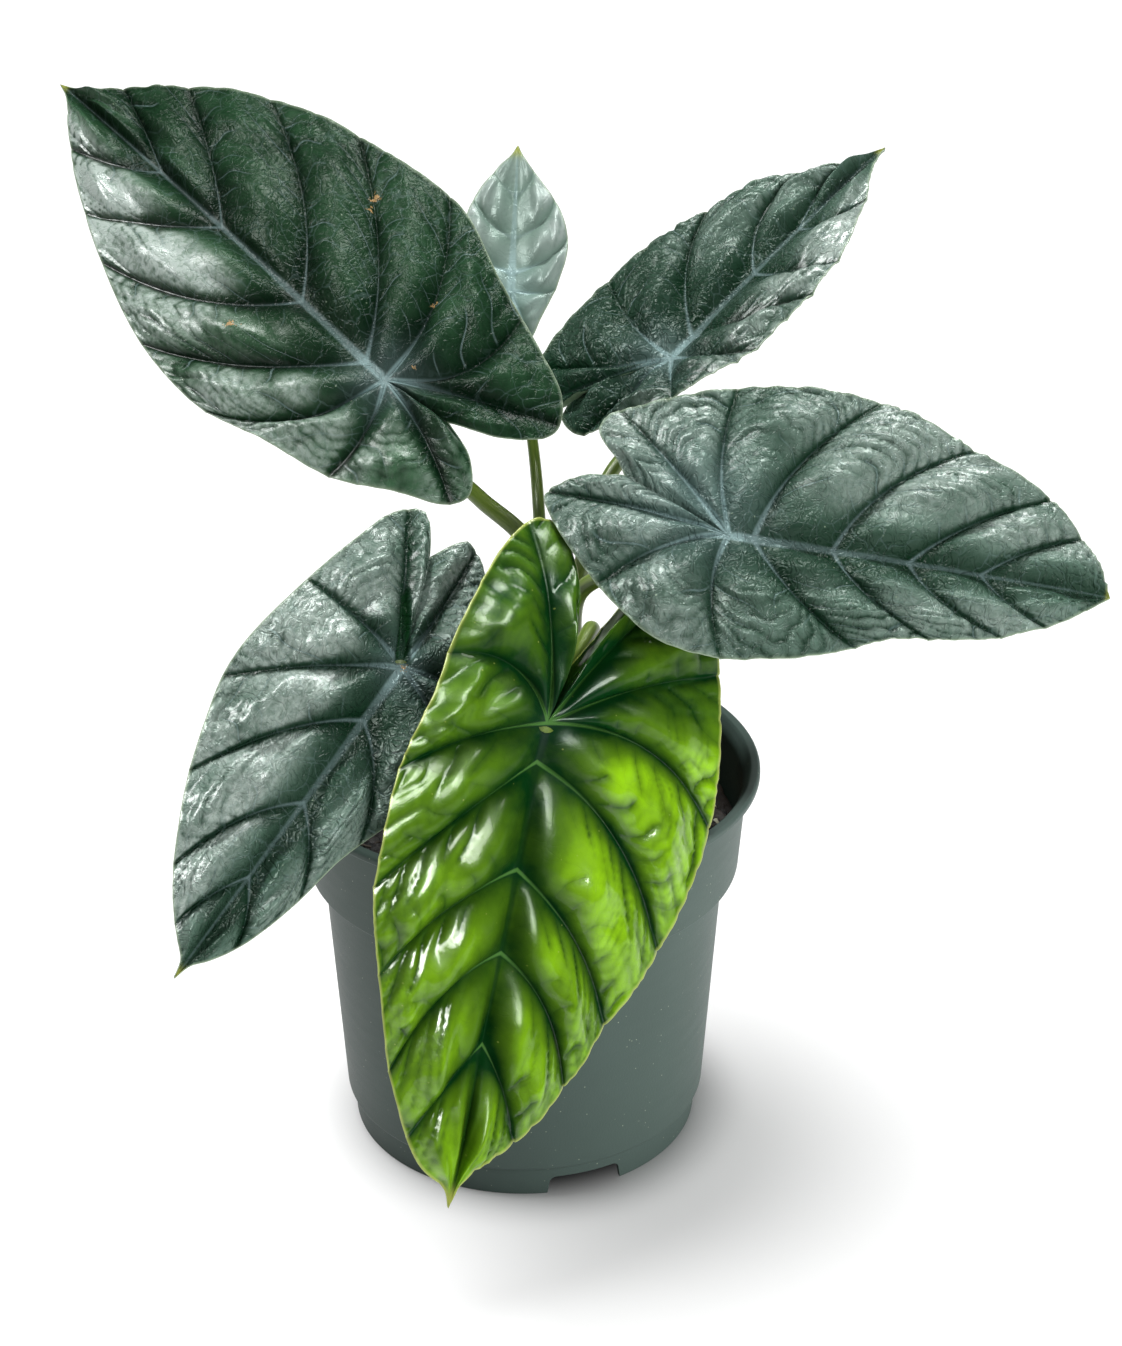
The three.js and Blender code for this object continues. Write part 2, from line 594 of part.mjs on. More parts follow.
// The uneven top of the mix: a broad wave, a fine wave and a low mound round the crown
function soilHeight(x, y) {
  const broad = Math.sin(x * BROAD_WAVE[0] + 1) * Math.cos(y * BROAD_WAVE[1]);
  const fine = FINE_WAVE_SHARE * Math.sin(x * FINE_WAVE[0] + y * FINE_WAVE[1] + 2);
  const mound = MOUND_HEIGHT * Math.exp(-((Math.hypot(x, y) / MOUND_RADIUS) ** 2));
  return SOIL_LEVEL + SOIL_UNEVENNESS * (broad + fine) + mound;
}

function soilBody() {
  const floorTop = FLOOR_UNDERSIDE + FLOOR_THICKNESS + GAP;
  const wall = WALL + GAP;
  const edge = THREE.MathUtils.lerp(COLLAR_FOOT_RADIUS, COLLAR_TOP_RADIUS, SOIL_EDGE_SHARE) - wall - GAP;
  const profile = [
    [0, floorTop],
    [BODY_FOOT_RADIUS - wall - GAP - SOIL_CORNER[0], floorTop],
    [BODY_FOOT_RADIUS - wall - GAP, floorTop + SOIL_CORNER[1]],
    [BODY_TOP_RADIUS - wall - GAP, COLLAR_FOOT_HEIGHT - COLLAR_STEP_RISE],
    [COLLAR_FOOT_RADIUS - wall - GAP, COLLAR_FOOT_HEIGHT - COLLAR_STEP_RISE + INNER_STEP_RISE],
    [edge, SOIL_LEVEL - 1],
    ...SOIL_RINGS.map((radius) => [radius, SOIL_LEVEL]),
    [0, SOIL_LEVEL],
  ];
  const geometry = turned(profile, SOIL_SIDES);
  const position = geometry.attributes.position;
  for (let i = 0; i < position.count; i += 1) {
    if (position.getZ(i) > SOIL_LEVEL - 0.5) {
      position.setZ(i, soilHeight(position.getX(i), position.getY(i)));
    }
  }
  return solidFrom(geometry);
}

// A place on the mix for a loose piece, clear of the crown and the wall
function scatterPlace(random, reach) {
  for (;;) {
    const radius = Math.sqrt(random()) * reach;
    const angle = 2 * Math.PI * random();
    const place = [radius * Math.cos(angle), radius * Math.sin(angle)];
    const fromCrown = Math.hypot(place[0] - CROWN_MIDDLE[0], place[1] - CROWN_MIDDLE[1]);
    if (fromCrown > CROWN_RADIUS) return place;
  }
}

function perliteGrain(random) {
  const size = between(random, PERLITE_SIZE);
  const geometry = new THREE.IcosahedronGeometry(size, 0);
  geometry.scale(1, between(random, PERLITE_WIDTH), between(random, PERLITE_FLATNESS));
  geometry.rotateZ(2 * Math.PI * random());
  const [x, y] = scatterPlace(random, PERLITE_REACH);
  geometry.translate(x, y, soilHeight(x, y) + size * PERLITE_RISE);
  return solidFrom(geometry);
}

function barkChip(random) {
  const length = between(random, BARK_LENGTH);
  const width = length * between(random, BARK_WIDTH);
  const geometry = new THREE.BoxGeometry(length, width, between(random, BARK_THICKNESS));
  geometry.rotateX(between(random, BARK_ROLL));
  geometry.rotateY(between(random, BARK_PITCH));
  geometry.rotateZ(2 * Math.PI * random());
  const [x, y] = scatterPlace(random, BARK_REACH);
  geometry.translate(x, y, soilHeight(x, y) + BARK_RISE);
  return solidFrom(geometry);
}

function makeSoil() {
  const random = seededRandom(41);
  const pieces = [soilBody()];
  for (let i = 0; i < BARK_COUNT; i += 1) pieces.push(barkChip(random));
  for (let i = 0; i < PERLITE_COUNT; i += 1) pieces.push(perliteGrain(random));
  const mix = wasm.Manifold.union(pieces).subtract(wasm.Manifold.union(LEAVES.map(stemHole)));
  const earth = new THREE.MeshStandardMaterial({ color: 0x2a211b, roughness: 0.95, metalness: 0 });
  return namedMesh('soil', geometryFrom(mix), earth);
}

const plant = new THREE.Group();
plant.add(makePot(), makeSoil());
for (const leaf of LEAVES) plant.add(makePetiole(leaf), makeBlade(leaf));

// Moves the plant so that the origin is the middle of its bounding box on the table
const bounds = new THREE.Box3().setFromObject(plant);
const middle = bounds.getCenter(new THREE.Vector3());
plant.position.set(-middle.x, -middle.y, 0);
plant.updateMatrixWorld(true);

export default plant;
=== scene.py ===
"""A potted alocasia with six quilted leaves: what is seen of it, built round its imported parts.

Lengths in the tables are millimetres from the pot's axis, and heights are from the surface that the pot
stands on, as in the part's source. Meshes are in metres in the row frame. Blades, petioles, pot and potting
mix stand for the parts of the same form. Perlite, bark, crumbs, fine roots and dried sheaths lie on the mix.
"""
import math

import bpy
import numpy as np
from mathutils import Matrix, Vector


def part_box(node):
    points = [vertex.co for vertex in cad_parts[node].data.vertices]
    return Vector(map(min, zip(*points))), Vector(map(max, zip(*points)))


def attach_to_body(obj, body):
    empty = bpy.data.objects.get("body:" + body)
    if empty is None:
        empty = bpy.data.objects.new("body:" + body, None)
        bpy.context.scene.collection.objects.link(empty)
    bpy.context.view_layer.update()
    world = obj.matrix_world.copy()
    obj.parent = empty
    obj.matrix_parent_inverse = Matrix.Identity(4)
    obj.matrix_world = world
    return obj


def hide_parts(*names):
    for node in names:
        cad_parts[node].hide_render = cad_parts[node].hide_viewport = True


bl_info = {
    "name": "Potted quilted alocasia",
    "version": (1, 0, 0),
    "blender": (4, 5, 0),
    "location": "View3D > Sidebar > Alocasia",
    "description": "Builds a potted alocasia with six quilted leaves, and a plain stage for it",
    "category": "Object",
}

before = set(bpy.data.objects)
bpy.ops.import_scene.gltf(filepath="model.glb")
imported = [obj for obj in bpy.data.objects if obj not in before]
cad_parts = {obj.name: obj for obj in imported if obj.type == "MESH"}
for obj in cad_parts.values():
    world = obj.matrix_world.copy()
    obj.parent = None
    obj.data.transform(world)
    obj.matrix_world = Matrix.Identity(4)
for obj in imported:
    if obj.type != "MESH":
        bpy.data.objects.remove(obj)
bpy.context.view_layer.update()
POT_LOW, POT_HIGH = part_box("pot")
POT_AXIS = np.array([(POT_LOW.x + POT_HIGH.x) / 2, (POT_LOW.y + POT_HIGH.y) / 2, 0.0])
MM = 0.001

# Each blade is drawn flat: u runs from the petiole to the tip, v to the left of that, seen from above.
# left and right are the margin from tip to sinus. A vein is the point that it bends towards and its end on
# the margin. The first veins of each side leave the midrib at roots, and the rest leave it at the petiole.
# hub is where the petiole meets the blade, and turn is the blade's heading, slope and roll in degrees. droop
# and lobe_droop bend the two ends down, in degrees for every 100 mm, and cup and fold raise or lower its
# halves. foot is where the petiole stands in the mix, stem the points that it passes, and radii its
# half-widths. What else a row may hold is listed under USUAL.
LEAF_ROWS = {
    "upper_left": {
        "look": "dark", "seed": 3, "heart": (0, 0, 12), "shade": 1.8, "quilting": 1.5, "ripples": 0.45,
        "left_tone": (1.25, 1.0, 1.15), "right_tone": (0.5, 0.5, 0.5), "left_sheen": (1.3, 1.1, 3.0),
        "scars": [(55, -45, 2.6), (52, -40, 1.6), (50, 25, 2.4), (47, 22, 1.4), (9, -31, 1.8), (-5, -9, 1.6)],
        "hub": (-45.8, 30, 270.4), "turn": (139.9, 28, -34), "droop": 8, "lobe_droop": 15,
        "cup": -3, "fold": 0, "tip": 180, "sinus": (-26, -5),
        "left": [(174, 1.8), (168, 5), (160, 11), (140, 23), (107, 38), (72, 49), (41, 51),
                 (14, 44), (-14, 36), (-33, 24), (-46, 16), (-50, 8), (-41, -1)],
        "right": [(174, -2), (167, -7), (157, -16), (126, -41), (93, -55), (62, -61), (33, -64),
                  (2, -54), (-26, -46), (-47, -38), (-53, -28), (-44, -15)],
        "roots": [120, 86, 43, 10],
        "left_veins": [(134, 12, 153, 15), (105, 20, 128, 30), (62, 30, 107, 38), (36, 36, 72, 49),
                       (2, 36, 36, 51), (-12, 14, -12, 37), (-24, 2, -46, 13)],
        "right_veins": [(138, -8, 160, -14), (104, -14, 141, -29), (66, -30, 115, -46), (30, -32, 80, -58),
                        (2, -34, 39, -64), (-26, -18, -15, -50), (-24, -16, -50, -31)],
        "foot": (-1, 7), "stem": [(0, 6, 195), (2, 6, 220), (-14, 13, 234), (-33, 23, 249)],
        "radii": (4.7, 3.4, 2.4),
    },
    "back_small": {
        "look": "pale", "seed": 11,
        "hub": (-3.2, 75, 285), "turn": (85.8, 50, 0), "droop": 10, "lobe_droop": 15, "cup": 0, "fold": 0,
        "tip": 55, "sinus": (-10, 0),
        "left": [(51.5, 1.8), (47, 6), (34, 14.5), (20, 18), (4, 18), (-9, 14), (-17, 9), (-17, 4)],
        "right": [(51.5, -1.6), (43, -7.5), (30, -16), (17, -19), (3, -16), (-9, -11), (-17, -7), (-16, -3)],
        "roots": [36, 20, 7],
        "left_veins": [(40, 6, 45, 8), (24, 10, 34, 14.5), (10, 14, 20, 18), (-2, 10, 1, 18),
                       (-7, 4, -16, 9)],
        "right_veins": [(40, -6, 45, -6), (24, -12, 34, -13.5), (10, -14, 20, -18.5), (-2, -10, 1, -15.5),
                        (-7, -3, -16, -7)],
        "foot": (6, 14), "stem": [(7, 18, 190), (6, 22, 224), (4, 42, 242), (0, 62, 261)],
        "radii": (3.4, 2.3, 1.6),
    },
    "upper_right": {
        "look": "silver", "seed": 23, "heart": (-2, 2, 11), "shade": 1.5, "quilting": 1.4, "ripples": 1.0,
        "left_tone": (0.45, 0.45, 1.6), "right_tone": (0.9, 0.9, 2.0), "left_sheen": (0, 0, 0.8),
        "right_sheen": (1.3, 1.3, 2.6),
        "hub": (51.7, 45, 271.8), "turn": (42.9, 30, 2), "droop": 8, "lobe_droop": 15, "cup": 0, "fold": 0.25,
        "tip": 118, "sinus": (-24, 16),
        "left": [(111, 1.6), (106, 4.5), (100, 9.5), (82, 22), (64, 29), (38, 35), (14, 39), (-10, 39),
                 (-27, 38), (-41, 35), (-46, 28), (-38, 21)],
        "right": [(112, -1.4), (105, -5), (89, -16), (67, -28), (45, -33), (23, -34), (4, -29), (-10, -19),
                  (-20, -9), (-31, 0), (-41, 10), (-39, 17), (-31, 18)],
        "roots": [70, 45, 11],
        "left_veins": [(88, 7, 104, 7), (62, 18, 92, 16), (28, 22, 58, 30), (1, 22, 14, 39),
                       (-16, 14, -27, 38), (-20, 14, -43, 33)],
        "right_veins": [(72, -12, 90, -16), (46, -18, 57, -31), (24, -18, 40, -34), (2, -14, 12, -32),
                        (-8, -6, -15, -14), (-20, 2, -40, 8)],
        "foot": (13, 8), "stem": [(17, 11, 190), (29, 20, 237), (36, 25, 246)],
        "radii": (4.3, 3, 2.2),
    },
    "right": {
        "look": "silver", "seed": 37, "heart": (-13, 10, 20), "quilting": 1.5, "ripples": 2.2,
        "arcs": 0.9, "tip_length": 1.5, "left_tone": (1.35, 1.1, 1.7), "right_tone": (1.0, 1.05, 1.5),
        "left_sheen": (0.9, 0.5, 1.4), "right_sheen": (0.8, 0.2, 0.9),
        "hub": (67, -38, 243.5), "turn": (-5.5, -6, 44), "droop": 8, "lobe_droop": 15, "cup": -3, "fold": 0,
        "tip": 126.5, "sinus": (-36, 17),
        "left": [(118, 15), (103, 31), (77, 43), (45, 55), (2, 54), (-28, 44), (-44, 38), (-46, 31),
                 (-39, 22)],
        "right": [(110, -12), (86, -22), (57, -27), (27, -38), (1, -41), (-18, -38), (-33, -28), (-48, -13),
                  (-58, 0), (-61, 8), (-51, 14)],
        "roots": [83, 59, 34, 8],
        "left_veins": [(97, 12, 115, 18), (76, 18, 104, 30), (44, 26, 77, 43), (15, 30, 45, 55),
                       (-9, 24, -3, 54), (-12, 14, -40, 39)],
        "right_veins": [(92, -10, 106, -14), (68, -14, 92, -20), (44, -16, 68, -25), (24, -22, 45, -31),
                        (-8, -18, 2, -41), (-20, -2, -40, -21), (-26, 6, -59, 8)],
        "foot": (16, -3), "stem": [(17, -5, 180), (19, -6, 207), (30, -12, 218), (49, -22, 229)],
        "radii": (4.6, 3.2, 2.4),
    },
    "lower_left": {
        "look": "silver", "seed": 51, "heart": (0, 0, 9), "shade": 1.1, "quilting": 1.5, "ripples": 1.4,
        "left_tone": (1.3, 1.1, 1.6), "right_tone": (1.5, 1.25, 1.5),
        "left_sheen": (0.3, 0.1, 1.2), "right_sheen": (1.2, 1.45, 1.9),
        "scars": [(0, 0, 2.6)], "pocket": (-24, -15),
        "hub": (-39.4, -45, 199.7), "turn": (-128.6, -30, -42), "droop": 10, "lobe_droop": 12, "cup": -3,
        "fold": 0, "tip": 126, "sinus": (-38, -14),
        "left": [(120, 1.6), (115, 5.5), (105, 11), (84, 17), (65, 20), (46, 26), (25, 33), (0, 34),
                 (-22, 25), (-38, 10), (-49, -1), (-50, -7)],
        "right": [(120, -1.8), (115, -7), (104, -17), (80, -31), (54, -41), (31, -46), (0, -43),
                  (-28, -37), (-44, -32), (-50, -25)],
        "roots": [86, 56, 22],
        "left_veins": [(96, 8, 107, 10), (66, 12, 82, 17), (34, 17, 56, 22), (6, 22, 22, 33),
                       (-6, 16, -12, 31), (-20, 0, -48, -3)],
        "right_veins": [(98, -8, 112, -10), (70, -16, 97, -21), (36, -20, 70, -36), (14, -22, 38, -45),
                        (-6, -20, -6, -42), (-20, -14, -48, -29)],
        "foot": (-3, -5), "stem": [(-8, -4, 150), (-24, 0, 176), (-40, -10, 186)],
        "radii": (4.7, 3.4, 2.3),
    },
    "front": {
        "look": "bright", "seed": 67, "quilting": 2.2, "dome": 0.9, "lean": 0.75, "lumps": 0.02,
        "furrows": 2.6, "ripples": 0.05, "scallops": 1.8, "channel": 6, "shade": 1.7, "dark": (32, 5),
        "arcs": 0.4, "tip_length": 7,
        "left_tone": (0.3, 0.95, 0.7), "right_tone": (0.3, 0.44, 0.7),
        "left_sheen": (0.3, 1.3, 1.2), "right_sheen": (0.1, 0.1, 1.5),
        "hub": (8.1, -65, 189.8), "turn": (-108.4, -58, -32), "droop": 10, "lobe_droop": 18, "cup": -3,
        "fold": 0, "tip": 163.5, "sinus": (-20, 5),
        "left": [(157, 1.3), (151, 4), (138, 17), (118, 29), (94, 39), (73, 50), (48, 58), (26, 62), (-4, 60),
                 (-30, 56), (-50, 48), (-58, 37), (-50, 25), (-34, 14)],
        "right": [(157, -3), (149, -14), (120, -30), (95, -38), (66, -46), (38, -47), (15, -44), (-6, -38),
                  (-26, -34), (-56, -22), (-66, -12), (-62, -3), (-50, 2), (-37, 4)],
        "roots": [108, 77, 49, 13],
        "left_veins": [(118, 9, 138, 16), (88, 20, 117, 29), (66, 26, 95, 38), (28, 34, 68, 52),
                       (-6, 40, 25, 62), (-18, 26, -26, 57), (-24, 12, -55, 42)],
        "right_veins": [(120, -10, 142, -19), (88, -22, 121, -30), (62, -26, 90, -40), (34, -26, 62, -46),
                        (6, -26, 23, -46), (-24, -12, -17, -36), (-38, -2, -64, -15)],
        "foot": (8, -10), "radii": (4.6, 3.3, 2.4),
        "stem": [(14, -13, 165), (20, -17, 190), (23, -26, 204), (19, -40, 204), (11, -52, 194)],
    },
}

# What a leaf has where its own row says nothing. The three numbers of a side hold for its lobe, beside the
# petiole, and at the tip.
USUAL = {
    "quilting": 1.0,            # height of the pillows, as a share of the setting
    "dome": 0.8,                # how blunt a pillow's round is
    "lean": 1.0,                # under 1, a pillow is highest on the tip's side
    "lumps": 0.03,              # broad unevenness of the pillows
    "furrows": 1.3,             # depth of the side veins, in millimetres
    "ripples": 0.22,            # height of the fine swellings that cross a pillow
    "scallops": 0.9,            # depth of the short furrows at the margin
    "channel": 1.6,             # depth of the channel along the midrib
    "shade": 1.0,               # breadth of the dark colour beside a vein
    "dark": (36, 14),           # reach of the dark colour from the midrib, by the petiole and at the tip
    "arcs": 0.7,                # painted shade in the troughs between the fine swellings
    "heart": (0, 0, 10),        # middle and radius of the pale patch round the petiole
    "tip_length": 4,            # length of the yellow point
    "left_tone": (1, 1, 1),     # painted light and shade: how much lighter or darker each half and lobe is made
    "right_tone": (1, 1, 1),
    "left_sheen": (0, 0, 0),    # silver gloss, and a painted silver sheen in the colour
    "right_sheen": (0, 0, 0),
    "scars": [],                # brown marks: place and radius
    "pocket": None,             # end of the sunk pocket, darkened with painted shade, between two lobes that have grown together
}
LEAVES = {name: {**USUAL, **row} for name, row in LEAF_ROWS.items()}

# Sizes of every blade, in millimetres
BLADE_DEPTH = 0.8
QUILT_WIDTH = 9
FULL_QUILT_REACH = 18
CHANNEL_WIDTH = 12
VEIN_RADIUS = 0.45
VEIN_GAIN = 0.9
RIB_RADIUS = 0.5
RIB_GAIN = 1.2
RIM_BULGE = 0.25
POCKET_DEPTH = 2.2
NO_VEIN_NEAR = 99

# Broad waves over a blade, strengths that its branches and its fine swellings take in turn, and the steps in
# a millimetre to which points are rounded where panels meet
BROAD_WAVES = 7
BRANCH_STRENGTHS = 16
RIPPLE_STRENGTHS = 32
WELD_STEPS = 400

# Points of a panel, which lies between two veins
ROWS_ALONG_VEIN = 60
CELL_WIDTH = 1.15
FEWEST_ACROSS = 10
MOST_ACROSS = 34
CROWDING = 0.085

# Petioles: how deep they stand in the mix, how far below the blade they turn to meet it, and how far below
# it they end, in millimetres, with the numbers of rings and sides
STEM_FOOT_DEPTH = 24
STEM_KNEE = 8
STEM_TOP_DEPTH = 0.9
STEM_RINGS = 110
STEM_SIDES = 40

# The mix and the crown in it, in millimetres, with the numbers of rings and sides. SOIL_SIDE is the radius
# and height of the rings down its side.
SOIL_LEVEL = 117
SOIL_RADIUS = 74.2
SOIL_RINGS = 92
SOIL_SIDES = 260
CROWN_X = 6
CROWN_RADIUS = 12
SOIL_SIDE = [(SOIL_RADIUS - 1.6, 104.5), (68, 100), (62.1, 14.5), (60, 11.9)]

# Seeds of what is drawn at random
SOIL_SEED = 4
SHEATH_SEED = 8
LOOSE_SEED = 41


def smoothstep(x, low, high):
    """0 below low, 1 above high, and smooth between"""
    share = np.clip((x - low) / (high - low), 0, 1)
    return share * share * (3 - 2 * share)


def unit(vector):
    return vector / np.linalg.norm(vector, axis=-1, keepdims=True)


def linear(red, green, blue):
    """A colour of a screen, 0 to 255, as the light that it gives"""
    channels = np.array([red, green, blue]) / 255
    light = np.where(channels <= 0.04045, channels / 12.92, ((channels + 0.055) / 1.055) ** 2.4)
    return tuple(float(c) for c in light)


def scaled(colour, share):
    return tuple(share * c for c in colour)


# The numbers that every point of a blade carries for its colours
POINT_VALUES = ("vein", "midrib", "side_vein", "beat", "branch", "crest", "sheen", "hub", "rim", "tip",
                "scar", "pocket")


# ---- meshes


def smooth_line(points, steps=40):
    """A centripetal curve through the points: many close points, and each one's share of the length"""
    points = np.asarray(points, float)
    padded = np.vstack([2 * points[0] - points[1], points, 2 * points[-1] - points[-2]])
    knots = np.maximum(np.linalg.norm(np.diff(padded, axis=0), axis=1) ** 0.5, 1e-4)
    share = np.linspace(0, 1, steps, endpoint=False)[:, None]
    spans = []
    for i in range(len(points) - 1):
        before, start, end, after = padded[i:i + 4]
        k0, k1, k2 = knots[i:i + 3]
        leave = ((start - before) / k0 - (end - before) / (k0 + k1) + (end - start) / k1) * k1
        arrive = ((end - start) / k1 - (after - start) / (k1 + k2) + (after - end) / k2) * k1
        square = 3 * (end - start) - 2 * leave - arrive
        cube = 2 * (start - end) + leave + arrive
        spans.append(start + leave * share + square * share**2 + cube * share**3)
    line = np.vstack(spans + [points[-1:]])
    steps_long = np.linalg.norm(np.diff(line, axis=0), axis=1)
    length = np.concatenate([[0], np.cumsum(steps_long)])
    return line, length / length[-1]


def point_on(line, shares, at):
    return np.stack([np.interp(at, shares, line[:, k]) for k in range(line.shape[1])], -1)


def mesh_object(name, points, faces, materials, face_materials=None, numbers=None, vectors=None):
    """A smooth mesh object in the row frame, given in millimetres round the pot's axis

    numbers and vectors are what its points carry for the finishes, by name.
    """
    mesh = bpy.data.meshes.new(name)
    row_points = np.asarray(points, float) * MM + POT_AXIS
    mesh.from_pydata(row_points.tolist(), [], faces if isinstance(faces, list) else faces.tolist())
    for material in materials:
        mesh.materials.append(material)
    if face_materials is not None:
        mesh.polygons.foreach_set("material_index", np.asarray(face_materials, np.int32))
    mesh.polygons.foreach_set("use_smooth", np.ones(len(mesh.polygons), bool))
    for title, values in (numbers or {}).items():
        mesh.attributes.new(title, "FLOAT", "POINT").data.foreach_set("value", np.asarray(values, np.float32))
    for title, values in (vectors or {}).items():
        flat = np.asarray(values, np.float32).ravel()
        mesh.attributes.new(title, "FLOAT_VECTOR", "POINT").data.foreach_set("vector", flat)
    mesh.validate()
    mesh.update()
    thing = bpy.data.objects.new(name, mesh)
    bpy.context.scene.collection.objects.link(thing)
    return thing


def joined(name, parts, material, title):
    """One mesh of many parts. Each is given as its points, its faces, and the value that its points carry."""
    starts = np.cumsum([0] + [len(points) for points, _, _ in parts])
    points = np.vstack([points for points, _, _ in parts])
    faces = np.vstack([faces + start for (_, faces, _), start in zip(parts, starts)])
    values = np.concatenate([value for _, _, value in parts])
    return mesh_object(name, points, faces, [material], numbers={title: values})


def all_round(sides):
    return np.linspace(0, 2 * np.pi, sides, endpoint=False)


def between_rings(rings, sides):
    """The numbers of the points on each ring and of their neighbours, and the faces between the rings"""
    index = np.arange(rings * sides).reshape(rings, sides)
    after = np.roll(index, -1, axis=1)
    return index, after, np.stack([index[:-1], after[:-1], after[1:], index[1:]], -1).reshape(-1, 4)


def attach(thing, slot, *nodes):
    """The piece moves with the plant and stands for the nodes that are named; slot is not used"""
    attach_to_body(thing, "root")
    if nodes:
        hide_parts(*nodes)


# ---- blades


def bezier(start, bend, end, at):
    at = at[:, None]
    return (1 - at) ** 2 * start + 2 * (1 - at) * at * bend + at**2 * end


def side_veins(leaf, side, margin, shares):
    """The veins of one side from tip to sinus, each with its root, its place on the margin and three points

    The first and the last only close the side off, and are not real ones.
    """
    tip = np.array([leaf["tip"], 0.0])
    veins = [{"root": leaf["tip"], "at": 0.0, "points": (tip, tip, tip), "real": False}]
    for i, (bend_u, bend_v, end_u, end_v) in enumerate(leaf[f"{side}_veins"]):
        root = leaf["roots"][i] if i < len(leaf["roots"]) else 0
        nearest = np.argmin(np.hypot(margin[:, 0] - end_u, margin[:, 1] - end_v))
        points = (np.array([root, 0.0]), np.array([bend_u, bend_v], float), margin[nearest])
        veins.append({"root": root, "at": shares[nearest], "points": points, "real": True})
    hub = np.zeros(2)
    sinus = np.array(leaf["sinus"], float)
    veins.append({"root": 0, "at": 1.0, "points": (hub, sinus / 2, sinus), "real": False})
    return veins


def across_steps(panel, margins):
    """How many cells a panel has across: the same on both sides, so that they meet along the midrib"""
    widest = 0
    for side in ("left", "right"):
        veins = margins[side][2]
        if panel + 1 < len(veins):
            ends = veins[panel]["points"][2] - veins[panel + 1]["points"][2]
            widest = max(widest, np.linalg.norm(ends))
    return int(np.clip(widest / CELL_WIDTH, FEWEST_ACROSS, MOST_ACROSS))


def panel_net(leaf, side, panel, margins):
    """The grid of points between two veins, with all that the relief and the colours need to know of them"""
    margin, shares, veins = margins[side]
    first, second = veins[panel], veins[panel + 1]
    count = across_steps(panel, margins)
    even = np.linspace(0, 1, count + 1)
    across = even - CROWDING * np.sin(2 * np.pi * even)
    along = np.linspace(0, 1, ROWS_ALONG_VEIN + 1)
    a = bezier(*first["points"], along)
    b = bezier(*second["points"], along)
    edge = point_on(margin, shares, first["at"] + (second["at"] - first["at"]) * across)
    chord = first["points"][2] + (second["points"][2] - first["points"][2]) * across[:, None]
    flat = a[:, None] + (b - a)[:, None] * across[None, :, None] + (edge - chord)[None] * along[:, None, None]
    width = np.linalg.norm(b - a, axis=1)[:, None] + 0 * across
    root = first["root"] + (second["root"] - first["root"]) * across
    reach = np.hypot(edge[:, 0] - root, edge[:, 1])[None] + 0 * along[:, None]
    length_a = np.linalg.norm(np.diff(a, axis=0), axis=1).sum()
    length_b = np.linalg.norm(np.diff(b, axis=0), axis=1).sum()
    across = across[None] + 0 * along[:, None]
    along = along[:, None] + 0 * across
    none_near = np.full_like(across, NO_VEIN_NEAR)
    to_first = across * width if first["real"] else none_near
    to_second = (1 - across) * width if second["real"] else none_near
    return {
        "flat": flat, "across": across, "along": along, "width": width, "reach": reach,
        "from_vein": np.minimum(to_first, to_second),
        "run": along * (length_a + (length_b - length_a) * across),
        "phase": 0.37 * panel + (0 if side == "left" else 0.5),
        "key": leaf["seed"] + 7 * panel + (0 if side == "left" else 3),
    }


def quilt(leaf, net, height):
    """The pillow between two veins, less where the veins run together or the margin is near"""
    across, along = net["across"], net["along"]
    dome = np.clip(np.sin(np.pi * across ** leaf["lean"]), 0, 1) ** leaf["dome"]
    dome = np.minimum(1, net["reach"] / FULL_QUILT_REACH) * dome
    fade = (1 - np.exp(-((net["run"] / 5.5) ** 1.5))) * (1 - 0.72 * smoothstep(along, 0.72, 1))
    swell = 1 + 0.2 * np.sin(2 * np.pi * (2.2 * along + net["phase"]) + 1.6 * across)
    draws = np.random.default_rng(net["key"] + 500)
    u, v = net["flat"][..., 0], net["flat"][..., 1]
    for _ in range(BROAD_WAVES):
        turn, shift = draws.uniform(0, 2 * np.pi), draws.uniform(0, 2 * np.pi)
        wave = (u * np.cos(turn) + v * np.sin(turn)) * draws.uniform(0.2, 0.5) + shift
        swell = swell + leaf["lumps"] * np.sin(wave)
    return height * (net["width"] / (net["width"] + QUILT_WIDTH)) * dome * fade * swell


def furrows(net):
    """The side veins of a pillow: how deep they furrow it, where each lies, and how strong it is there"""
    draws = np.random.default_rng(net["key"])
    spacing = draws.uniform(8.0, 11.5)
    total = np.zeros_like(net["across"])
    beats, branch = np.zeros_like(total), np.zeros_like(total)
    for half in (0, 1):
        distance = (net["across"] if half == 0 else 1 - net["across"]) * net["width"]
        wander = 2.2 * np.sin(net["run"] * 0.13 + draws.uniform(0, 6))
        wander = wander + 1.0 * np.sin(distance * 0.4 + draws.uniform(0, 6))
        beat = (net["run"] - draws.uniform(0.5, 1.0) * distance + wander) / spacing + draws.uniform(0, 1)
        which = np.round(beat).astype(int) % BRANCH_STRENGTHS
        strength = draws.uniform(0.25, 1.0, BRANCH_STRENGTHS)[which]
        extent = draws.uniform(0.3, 0.66, BRANCH_STRENGTHS)[which]
        share = distance / np.maximum(net["width"], 1)
        own = (net["across"] < 0.5) == (half == 0)
        reach = 1 - smoothstep(share, extent - 0.2, extent)
        near = smoothstep(distance, 0.3, 3.0) * smoothstep(np.abs(net["across"] - 0.5) * net["width"], 0, 2.5)
        present = strength * reach * near
        total += np.where(own, (1 - np.abs(np.sin(np.pi * beat)) ** 0.5) * present, 0)
        branch += np.where(own, present, 0)
        beats += np.where(own, beat, 0)
    room = smoothstep(net["width"], 6, 14) * smoothstep(net["run"], 5, 24)
    return total * room, beats, branch * room


